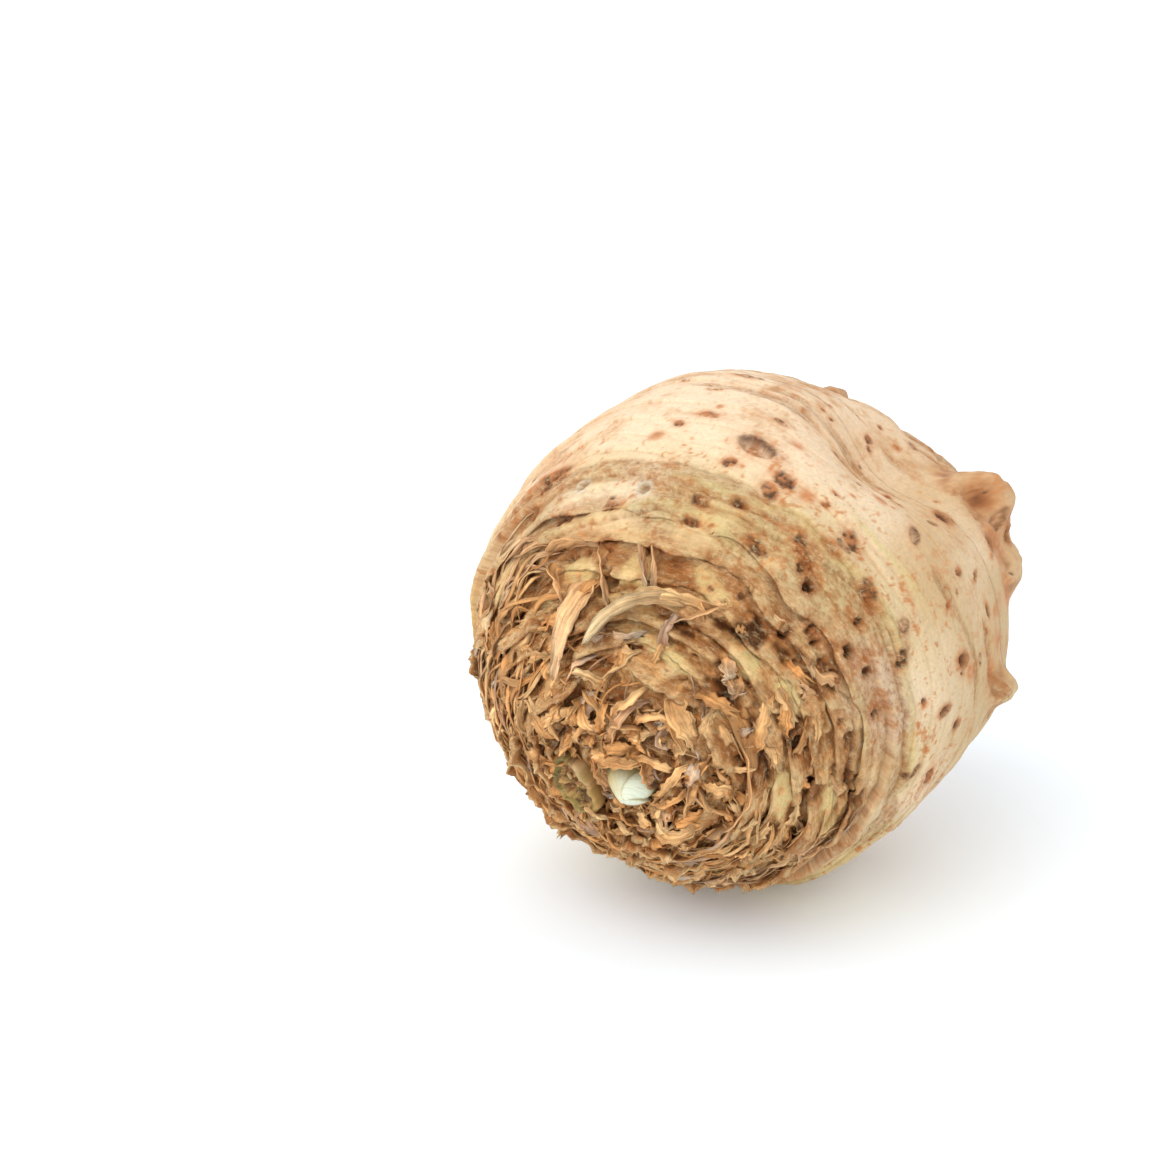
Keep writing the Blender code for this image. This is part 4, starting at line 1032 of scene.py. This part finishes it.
def cut_roots(pick, count):
    """Trimmed root stubs of the root end, pale where cut."""
    around = circle(STUB_COLUMNS)
    strips = []
    for index in range(count):
        angle = 117.0 + 61.0 * ((index + 0.5) / count) ** 0.8
        turn = (GOLDEN_TURN * index + pick.uniform(-18.0, 18.0)) % 360.0
        radius = 0.0008 + 0.0026 * pick.random() ** 1.6
        tall = radius * pick.uniform(0.15, 0.55) + 0.0007
        tilt = pick.normal(0.0, 0.30, 2)
        slope = pick.uniform(-0.3, 0.3, 2)
        phase = pick.uniform(0.0, 6.3, 2)
        bark = mix(WARM, BROWN, pick.uniform(0.1, 0.5)) * 0.9
        pale = mix(TAN, CREAM, pick.uniform(0.1, 0.8))
        base, u, toward, side = local_frame(angle, turn)
        if u @ SHOWN > -0.24:
            continue
        wobble = 1.0 + 0.13 * np.sin(2.0 * around + phase[0]) + 0.07 * np.sin(5.0 * around + phase[1])
        wobble = wobble * radius
        tones = (bark,) * 5 + (0.45 * bark, pale, 0.8 * pale, pale, pale)
        points, grains = [], []
        for wide, rise in STUB_PROFILE:
            x = wide * wobble * np.cos(around)
            y = wide * wobble * np.sin(around)
            up = tall * rise + (slope[0] * x + slope[1] * y if rise > 0.5 else 0.0 * x)
            lean = (x + tilt[0] * up)[:, None] * toward + (y + tilt[1] * up)[:, None] * side
            points.append(base + lean + up[:, None] * u)
            grain = [up / MM + 9.0 * index, radius * around / MM, np.full(STUB_COLUMNS, 3.0 * wide)]
            grains.append(np.stack(grain, -1))
        shades = np.repeat(np.array(tones), STUB_COLUMNS, 0)
        quads = ring_quads(len(STUB_PROFILE), STUB_COLUMNS)
        strips.append((np.concatenate(points), shades, np.concatenate(grains), quads))
    return strips


def rootlets(pick, count):
    """Dry threads of cut rootlets on the root end."""
    strips = []
    for _ in range(count):
        angle = 126.0 + 50.0 * pick.random()
        turn = pick.uniform(-180.0, 180.0)
        long = pick.uniform(0.003, 0.009)
        heading = pick.uniform(0.0, 6.3) + pick.uniform(-2.0, 2.0) * SHARE
        angles, turns = wander(angle, turn, long, -heading, 0.15)
        heights = -0.0004 + pick.uniform(0.0008, 0.0030) * np.sin(SHARE * pick.uniform(1.2, 2.6))
        heights = heights + wiggle(pick, 0.0003)
        widths = pick.uniform(0.0003, 0.0007) * (1.0 - 0.6 * SHARE) + 0.0001
        base = mix(BROWN, TAN, pick.random())
        if direction(angle, turn) @ SHOWN > -0.30:
            continue
        angles = np.minimum(angles, 178.0)
        twists = np.full(STATIONS, 40.0)
        strips.append(husk_strip(
            angles, turns, heights, widths, twists, 0.0, 0.0003, pick, base, TAN, 0.1, 3))
    return strips


def spread(values):
    """Evenly spaced values read at each station of a strip."""
    return np.interp(SHARE, np.linspace(0.0, 1.0, len(values)), values)


def named_strips(pick):
    """The strips that stand out most in front of the crown."""
    strips = []

    def add(angles, turns, heights, widths, twists, curl, thickness, base, tip, ragged):
        path = [spread(values) for values in (angles, turns)]
        sizes = [spread(values) * MM for values in (heights, widths)]
        strips.append(husk_strip(
            *path, *sizes, spread(twists), curl, thickness * MM, pick, base, tip, ragged))

    for row in NAMED_STRIPS:
        add(*row)
    for angles, turns, tone in SHORT_STRIPS:
        add(angles, turns, (-0.8, 1.2, 1.6, 1.2, -0.4), (3.0, 4.0, 4.0, 3.6, 2.8),
            (68.0, 88.0, 104.0), 0.1, 0.50, mix(BROWN, TAN, 0.8), mix(TAN, CREAM, tone), 0.2)
    arch = np.sin(np.clip(0.25 + 2.8 * SHARE, 0.0, math.pi)) ** 0.7
    for width, top, twist, tone, *path in STRANDS:
        angles, turns = (spread(values) for values in zip(*path))
        widths = 1.25 * width * (0.55 + 0.45 * np.sin(math.pi * SHARE))
        twists = twist + 50.0 * (SHARE - 0.5)
        strips.append(husk_strip(
            angles, turns, -0.0012 + (top + 0.0012) * arch, widths, twists, 0.30, 0.00060, pick,
            mix(BROWN, TAN, 0.6), mix(TAN, tone, 0.7), 0.40))
    add(*LOW_STRIP)
    return strips


# Bud and cut stalk
BUD_TURN = 129.0
BUD_ANGLE = 1.8
BUD_RADIUS = 0.0043
BUD_RISE = 0.0050
BUD_SUNK = 0.0036
BUD_TIP = 0.0010
BUD_LEAN = 0.0007
BUD_FOOT = linear(186, 168, 92)
BUD_PALE = linear(222, 230, 208)
BUD_CREAM = linear(208, 190, 136)
# Painted shade for the creases where one wrapped leaf overlaps the next
BUD_CREASE_SHADE = linear(176, 158, 100)
STALK_TURN = -111.0
STALK_ANGLE = 12.6
STALK_LENGTH = 0.0150
STALK_WIDTH = 0.0104
STALK_RISE = 0.0024
STALK_SUNK = 0.0030
STALK_RIM = 0.0013
OLIVE = linear(158, 136, 72)
STALK_FOLD = linear(92, 92, 36)
STALK_TAN = linear(196, 150, 92)
PITH = linear(150, 100, 52)
STALK_CREAM = linear(228, 208, 168)
STALK_HOLE = linear(86, 52, 28)
# Side and rim of the stalk's outline: inset, then height as a share of the rise
STALK_SIDE = ((0.0, 0.2), (0.0, 0.7), (0.0001, 0.92), (0.0004, 1.0), (0.0009, 1.0), (0.0012, 0.85))
# First ring of the stalk's outline that lies inside its rim
INSIDE_FROM = 9
# Room kept round the bud and the stalk: angle, turn, height and reach
CLEARINGS = ((BUD_ANGLE, BUD_TURN, 0.0032, 0.0047), (STALK_ANGLE, STALK_TURN, 0.0034, 0.0054))
# Hollows in the skin where they sit: angle and turn, reach in degrees, depth
SEATS = (((BUD_ANGLE, BUD_TURN), 5.0, 0.0022), ((STALK_ANGLE, STALK_TURN), 7.0, 0.0012))


def local_frame(angle, turn):
    """Surface point with its outward, crownward and side directions."""
    u = direction(angle, turn)
    base = surface(angle, turn)
    toward = CROWN - (CROWN @ u) * u
    toward /= np.linalg.norm(toward)
    return base, u, toward, np.cross(u, toward)


def dressed(name, rows, columns, parts, ends, closed):
    """Object from rows of points, colours and grain, with its ends closed."""
    points, shades, grains = (np.concatenate(values) for values in parts)
    item = grid_mesh(name, points, rows, columns, ends, closed, closed)
    for layer, values in (("tint", shades), ("grain", grains)):
        paint(item, layer, np.concatenate([values, values[:1], values[-columns:][:1]]))
    return item


def leaf_bud(material):
    """Wrapped young leaves, pale at the tip and green at the foot."""
    base, u, toward, side = local_frame(BUD_ANGLE, BUD_TURN)
    columns, rows = 150, 90
    around = circle(columns)
    drawn = bell(np.arctan2(np.sin(around - 0.3), np.cos(around - 0.3)), 0.0, 0.62)
    shady = (0.5 + 0.5 * np.cos(around - 0.4)) ** 3
    ribs = 0.010 * np.sin(26.0 * around) + 0.07 * np.cos(2.0 * around - 1.1)
    ribs = ribs + 0.04 * np.cos(3.0 * around + 0.4)
    points, shades, grains = [], [], []
    for b in np.linspace(0.0, math.pi, rows + 2)[1:-1]:
        spin = 3.0 * (around + 0.9 * b + 0.10 * np.sin(3.0 * b)) / (2.0 * math.pi)
        part = spin - np.floor(spin)
        fold = 0.16 * part ** 1.3 - 0.04 * bell(part, 0.02, 0.05)
        reach = BUD_RADIUS * (0.90 + fold) * math.sin(b) ** 0.80 * (1.0 + 0.46 * drawn * math.sin(b) ** 2)
        wide = reach * (1.0 + ribs * math.sin(b))
        tall = (BUD_RISE if b < math.pi / 2 else BUD_SUNK) * math.cos(b)
        tall = tall + BUD_TIP * math.exp(-((b / 0.40) ** 2))
        row = base + tall * u + BUD_LEAN * math.cos(b) * side - 0.0004 * toward
        row = row + (wide * np.cos(around))[:, None] * toward + (1.08 * wide * np.sin(around))[:, None] * side
        points.append(row)
        up = 0.5 + 0.5 * math.cos(b)
        place = np.stack([np.cos(around), np.sin(around), np.full(columns, 3.0 * up)], -1)
        patch = layered(place, 0.8, 79, 2)
        shades.append(layers_over(BUD_FOOT, (
            (BUD_PALE, held(2.4 * up - 0.9 + 0.6 * patch)),
            (BUD_CREAM, held(0.30 * shady + 0.75 * drawn * math.sin(b))),
            # Painted shade along the crease where each wrapped leaf steps over the next
            (BUD_CREASE_SHADE, 0.55 * bell(np.minimum(part, 1.0 - part), 0.0, 0.07)),
        )))
        grains.append(np.stack([reach * around / MM, np.full(columns, b * 4.0), np.full(columns, 3.0)], -1))
    ends = [base + (BUD_RISE + BUD_TIP) * u + BUD_LEAN * side, base - BUD_SUNK * u]
    item = dressed("bud_leaves", rows, columns, (points, shades, grains), ends, True)
    item.data.materials.append(material)
    return item


def stalk_stump(material):
    """Cut leaf stalk: green rim round torn brown fibres."""
    base, u, toward, side = local_frame(STALK_ANGLE, STALK_TURN)
    columns = 160
    around = circle(columns)
    floor = STALK_RISE - 0.0011
    outline = [(0.0014, -STALK_SUNK), (0.0006, -0.4 * STALK_SUNK)]
    outline += [(inset, share * STALK_RISE) for inset, share in STALK_SIDE]
    outline += [(STALK_RIM + 0.0002, floor + 0.0004)]
    outline += [(STALK_RIM + 0.0005 + 0.0003 * step, floor) for step in range(11)]
    spin = np.degrees(np.arctan2(np.sin(around + 0.65), np.cos(around + 0.65)))
    top = bell(spin, 0.0, 52.0, 4)
    ridge = bell(spin, 96.0, 26.0)
    wavy = 1.0 + 0.05 * np.sin(3.0 * around + 1.0) + 0.045 * np.sin(5.0 * around + 2.0)
    wavy = wavy + 0.03 * np.sin(9.0 * around)
    low_side = held(-np.cos(around - 0.4))
    points, shades, grains = [], [], []
    for index, (inset, height) in enumerate(outline):
        along = (0.5 * STALK_LENGTH - inset) * np.cos(around) * wavy
        across = (np.where(np.sin(around) > 0.0, 0.36, 0.64) * STALK_WIDTH - inset) * np.sin(around) * wavy
        flat = np.stack([along, across, np.full(columns, 0.3)], -1)
        torn = layered(flat * np.array([1.0, 0.6, 1.0]), 0.0011, 71, 3, 0.75)
        coarse = layered(flat, 0.0030, 72, 2, 0.6)
        if index >= INSIDE_FROM:
            lift = 0.0018 * torn + 0.0009 * coarse + 0.0003
            flesh = mix(PITH, STALK_TAN, step_up(0.0, 0.4, torn))
            flesh = mix(flesh, OLIVE, 0.5 * step_up(0.0, 0.3, coarse))
            shades.append(mix(flesh, STALK_HOLE, 0.85 * step_up(-0.10, 0.25, -torn)) * 0.85)
        else:
            lift = 0.0010 * coarse + 0.0004 * ridge + 0.0006 * torn if 4 <= index <= 7 else 0.0003 * torn
            shades.append(0.92 * layers_over(STALK_TAN, (
                (OLIVE, held(0.25 + 0.75 * low_side + coarse)),
                (STALK_FOLD, 0.85 * top * (1.0 if index >= 3 else 0.4)),
                (STALK_CREAM, held(0.42 * ridge * (0.8 + 1.6 * torn), 0.6)),
                (STALK_HOLE, 0.6 * step_up(0.05, 0.40, torn)),
            )))
        points.append(base + (height + lift)[:, None] * u + along[:, None] * side + across[:, None] * toward)
        grains.append(flat / MM)
    ends = [base - 1.05 * STALK_SUNK * u, base + floor * u]
    item = dressed("cut_stalk", len(outline), columns, (points, shades, grains), ends, True)
    item.data.materials.append(material)
    return item


# Materials
class Look:
    """A material being built: its node tree, shader and painted layers."""

    def __init__(self, name, roughness, specular):
        self.material = bpy.data.materials.new(name)
        self.material.use_nodes = True
        self.tree = self.material.node_tree
        self.shader = self.tree.nodes["Principled BSDF"]
        self.shader.inputs["Roughness"].default_value = roughness
        self.shader.inputs["Specular IOR Level"].default_value = specular

    def feed(self, value, socket):
        """Link a socket or set a value."""
        if hasattr(value, "links"):
            self.tree.links.new(value, socket)
        else:
            socket.default_value = value

    def node(self, kind, inputs=(), **settings):
        """Shader node with its settings and inputs."""
        made = self.tree.nodes.new(kind)
        for name, value in settings.items():
            setattr(made, name, value)
        for name, value in dict(inputs).items():
            self.feed(value, made.inputs[name])
        return made

    def painted(self, name, output):
        """Colour or vector painted on the mesh."""
        return self.node("ShaderNodeAttribute", attribute_name=name).outputs[output]

    def blend(self, share, a, b, how="MIX"):
        """Mix two colours by a socket or value."""
        inputs = {"Factor": share, 6: a, 7: b}
        return self.node("ShaderNodeMix", inputs, data_type="RGBA", blend_type=how).outputs[2]

    def noise(self, vector, scale, detail=4.0, roughness=0.6, stretch=None):
        """Noise value on a vector, stretched if wanted."""
        if stretch:
            vector = self.node("ShaderNodeMapping", {"Scale": stretch, "Vector": vector}).outputs["Vector"]
        inputs = {"Scale": scale, "Detail": detail, "Roughness": roughness, "Vector": vector}
        return self.node("ShaderNodeTexNoise", inputs).outputs["Fac"]

    def ramp(self, value, low, high, out_low=0.0, out_high=1.0):
        """Value spread between two limits, held outside them."""
        inputs = {"From Min": low, "From Max": high, "To Min": out_low, "To Max": out_high, "Value": value}
        return self.node("ShaderNodeMapRange", inputs, clamp=True).outputs["Result"]

    def times(self, a, b, how="MULTIPLY"):
        """Product of two values, or their sum or lesser value."""
        return self.node("ShaderNodeMath", {0: a, 1: b}, operation=how).outputs["Value"]

    def finish(self, colour, reliefs):
        """Base colour and relief, each value with its height in metres and strength."""
        self.feed(colour, self.shader.inputs["Base Color"])
        last = None
        for value, distance, strength in reliefs:
            inputs = {"Distance": distance, "Strength": strength, "Height": value}
            if last:
                inputs["Normal"] = last
            last = self.node("ShaderNodeBump", inputs).outputs["Normal"]
        self.feed(last, self.shader.inputs["Normal"])
        return self.material

    def scatter(self, weight, radius):
        """Light that passes a short way under the surface."""
        self.shader.inputs["Subsurface Weight"].default_value = weight
        self.shader.inputs["Subsurface Radius"].default_value = radius
        self.shader.inputs["Subsurface Scale"].default_value = 0.5


def rgba(*display):
    """Linear colour with full alpha from display values."""
    return (*(float(value) for value in linear(*display)), 1.0)


def skin_material():
    """Dry tan skin with flecks, fine creases and fibrous crown."""
    look = Look("celeriac_skin", 0.62, 0.32)
    tint = look.painted("tint", "Color")
    zones = look.node("ShaderNodeSeparateColor", {"Color": look.painted("zone", "Color")})
    husk = zones.outputs["Red"]
    place = look.painted("place", "Vector")
    fine = look.noise(place, 1.1, 6.0, 0.65)
    long = look.noise(place, 1.0, 5.0, 0.62, (1.5, 0.22, 0.22))
    freckle = look.ramp(look.noise(place, 2.3, 3.0, 0.55, (1.0, 0.6, 0.6)), 0.62, 0.72)
    patch = look.ramp(look.noise(place, 0.22, 3.0, 0.6), 0.42, 0.62)
    weak = look.ramp(long, 0.28, 0.72, 0.965, 1.03)
    strong = look.ramp(long, 0.30, 0.70, 0.78, 1.22)
    colour = look.blend(1.0, tint, look.blend(husk, weak, strong), "MULTIPLY")
    colour = look.blend(1.0, colour, look.ramp(fine, 0.30, 0.70, 0.88, 1.10), "MULTIPLY")
    colour = look.blend(look.times(look.times(freckle, patch), 0.45), colour, rgba(186, 122, 62))
    crusty = look.times(zones.outputs["Green"], look.times(husk, 0.8), "ADD")
    crusty = look.times(crusty, 1.0, "MINIMUM")
    crust = look.noise(place, 0.9, 6.0, 0.78, (1.0, 0.55, 0.55))
    low = look.times(look.ramp(crust, 0.52, 0.61, 0.0, 0.56), crusty)
    colour = look.blend(low, colour, rgba(172, 102, 46))
    high = look.times(look.ramp(crust, 0.48, 0.38, 0.0, 0.60), crusty)
    colour = look.blend(high, colour, rgba(246, 216, 166))
    look.feed(look.ramp(fine, 0.3, 0.7, 0.50, 0.74), look.shader.inputs["Roughness"])
    look.scatter(0.08, (0.004, 0.002, 0.001))
    strand = look.noise(place, 1.0, 4.0, 0.7, (1.7, 0.26, 0.26))
    return look.finish(colour, (
        (long, 0.00009, 0.50),
        (fine, 0.00026, 0.55),
        (look.times(strand, husk), 0.00120, 0.85),
        (look.times(crust, crusty), 0.00140, 0.80),
    ))


def husk_material():
    """Dry papery leaf bases with fibres along them."""
    look = Look("dry_husk", 0.72, 0.28)
    grain = look.painted("grain", "Vector")
    lines = look.noise(grain, 1.0, 3.0, 0.6, (0.12, 1.7, 1.0))
    blot = look.noise(grain, 0.55, 4.0, 0.65)
    shade = look.ramp(lines, 0.36, 0.64, 0.62, 1.26)
    grey = look.node("ShaderNodeCombineColor", {"Red": shade, "Green": shade, "Blue": shade}).outputs["Color"]
    colour = look.blend(1.0, look.painted("tint", "Color"), grey, "MULTIPLY")
    colour = look.blend(look.ramp(blot, 0.52, 0.72, 0.0, 0.45), colour, rgba(150, 96, 48))
    return look.finish(colour, ((lines, 0.00070, 0.9), (blot, 0.00050, 0.6)))


def plant_material(name, roughness, coarse, specular):
    """Moist living tissue: the bud or the cut stalk."""
    look = Look(name, roughness, specular)
    blot = look.noise(look.painted("grain", "Vector"), coarse, 4.0, 0.6)
    worn = look.ramp(blot, 0.5, 0.75, 0.0, 0.30)
    colour = look.blend(worn, look.painted("tint", "Color"), rgba(168, 140, 86))
    look.scatter(0.20, (0.003, 0.003, 0.0015))
    return look.finish(colour, ((blot, 0.00025, 0.5),))


# Studio
VIEW_TURN = -50.0
VIEW_RISE = 20.0
LENS = 90.0
SENSOR = 36.0
METRES_PER_PIXEL = 0.000225
PICTURE = 1170.0
HEART_PIXEL = (738.0, 632.0)
KEY_TOWARD = (-0.72, 0.10, 0.70)
KEY_STRENGTH = 1.34
KEY_SPREAD = 70.0
KEY_COLOUR = (1.0, 0.99, 0.97)
WORLD_STRENGTH = 1.0
FLOOR_HALF = 6.0
FLOOR_COLOUR = (0.885, 0.945, 0.995, 1.0)


def add_camera():
    """Camera at the photograph's angle, with the root at its place in the picture."""
    back = Vector(unit(VIEW_TURN - 90.0, VIEW_RISE))
    a = math.radians(VIEW_TURN)
    right = Vector((math.cos(a), math.sin(a), 0.0))
    up = back.cross(right)
    away = METRES_PER_PIXEL * PICTURE * LENS / SENSOR
    over = (HEART_PIXEL[0] - 0.5 * PICTURE) * METRES_PER_PIXEL
    above = (0.5 * PICTURE - HEART_PIXEL[1]) * METRES_PER_PIXEL
    data = bpy.data.cameras.new("camera")
    data.lens = LENS
    data.sensor_width = SENSOR
    data.clip_start = 0.01
    camera = bpy.data.objects.new("camera", data)
    bpy.context.scene.collection.objects.link(camera)
    turn = Matrix((right, up, back)).transposed().to_4x4()
    camera.matrix_world = Matrix.Translation(Vector(HEART) + back * away - right * over - up * above) @ turn
    bpy.context.scene.camera = camera


def add_studio():
    """Plain white floor and soft light from above."""
    half = FLOOR_HALF
    corners = np.array([(-half, -half, 0.0), (half, -half, 0.0), (half, half, 0.0), (-half, half, 0.0)])
    floor = raw_mesh("floor", corners, [np.array([[0, 1, 2, 3]])])
    paper = Look("white_floor", 0.9, 0.1)
    paper.shader.inputs["Base Color"].default_value = FLOOR_COLOUR
    paper.shader.inputs["Emission Color"].default_value = (1.0, 1.0, 1.0, 1.0)
    paper.shader.inputs["Emission Strength"].default_value = 0.06
    floor.data.materials.append(paper.material)
    world = bpy.data.worlds.new("white_studio")
    world.use_nodes = True
    background = world.node_tree.nodes["Background"]
    background.inputs["Color"].default_value = (1.0, 1.0, 1.0, 1.0)
    background.inputs["Strength"].default_value = WORLD_STRENGTH
    bpy.context.scene.world = world
    data = bpy.data.lights.new("key", "SUN")
    data.energy = KEY_STRENGTH
    data.angle = math.radians(KEY_SPREAD)
    data.color = KEY_COLOUR
    key = bpy.data.objects.new("key", data)
    key.rotation_mode = "QUATERNION"
    key.rotation_quaternion = Vector(KEY_TOWARD).to_track_quat("Z", "Y")
    bpy.context.scene.collection.objects.link(key)
    bpy.context.scene.view_settings.view_transform = "Standard"
    bpy.context.scene.view_settings.look = "None"


# Everything together
def build():
    """Make every piece, hang it on the frame and light it."""
    skin = skin_material()
    husk = husk_material()
    pick = np.random.default_rng(11)
    grown = [skin_piece(*row, skin) for row in SKIN_PIECES]
    grown.append(gather("standing_husks", standing_husks(pick, 130), husk))
    grown.append(gather("loose_husks", loose_husks(pick, 250), husk))
    thin = fibres(pick, 180) + rim_fibres(np.random.default_rng(29), 230)
    grown.append(gather("husk_fibres", thin, husk))
    grown.append(gather("front_husks", named_strips(pick), husk))
    grown.append(gather("cut_roots", cut_roots(pick, 74) + rootlets(pick, 44), husk))
    bud = leaf_bud(plant_material("young_leaf", 0.42, 0.9, 0.45))
    stalk = stalk_stump(plant_material("cut_leaf_stalk", 0.60, 1.4, 0.3))
    for piece in grown:
        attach(piece, "root")
        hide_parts("corm")
    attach(bud, "root")
    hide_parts("leaf_bud")
    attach(stalk, "root")
    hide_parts("leaf_stalk_stump")
    add_studio()
    add_camera()


build()
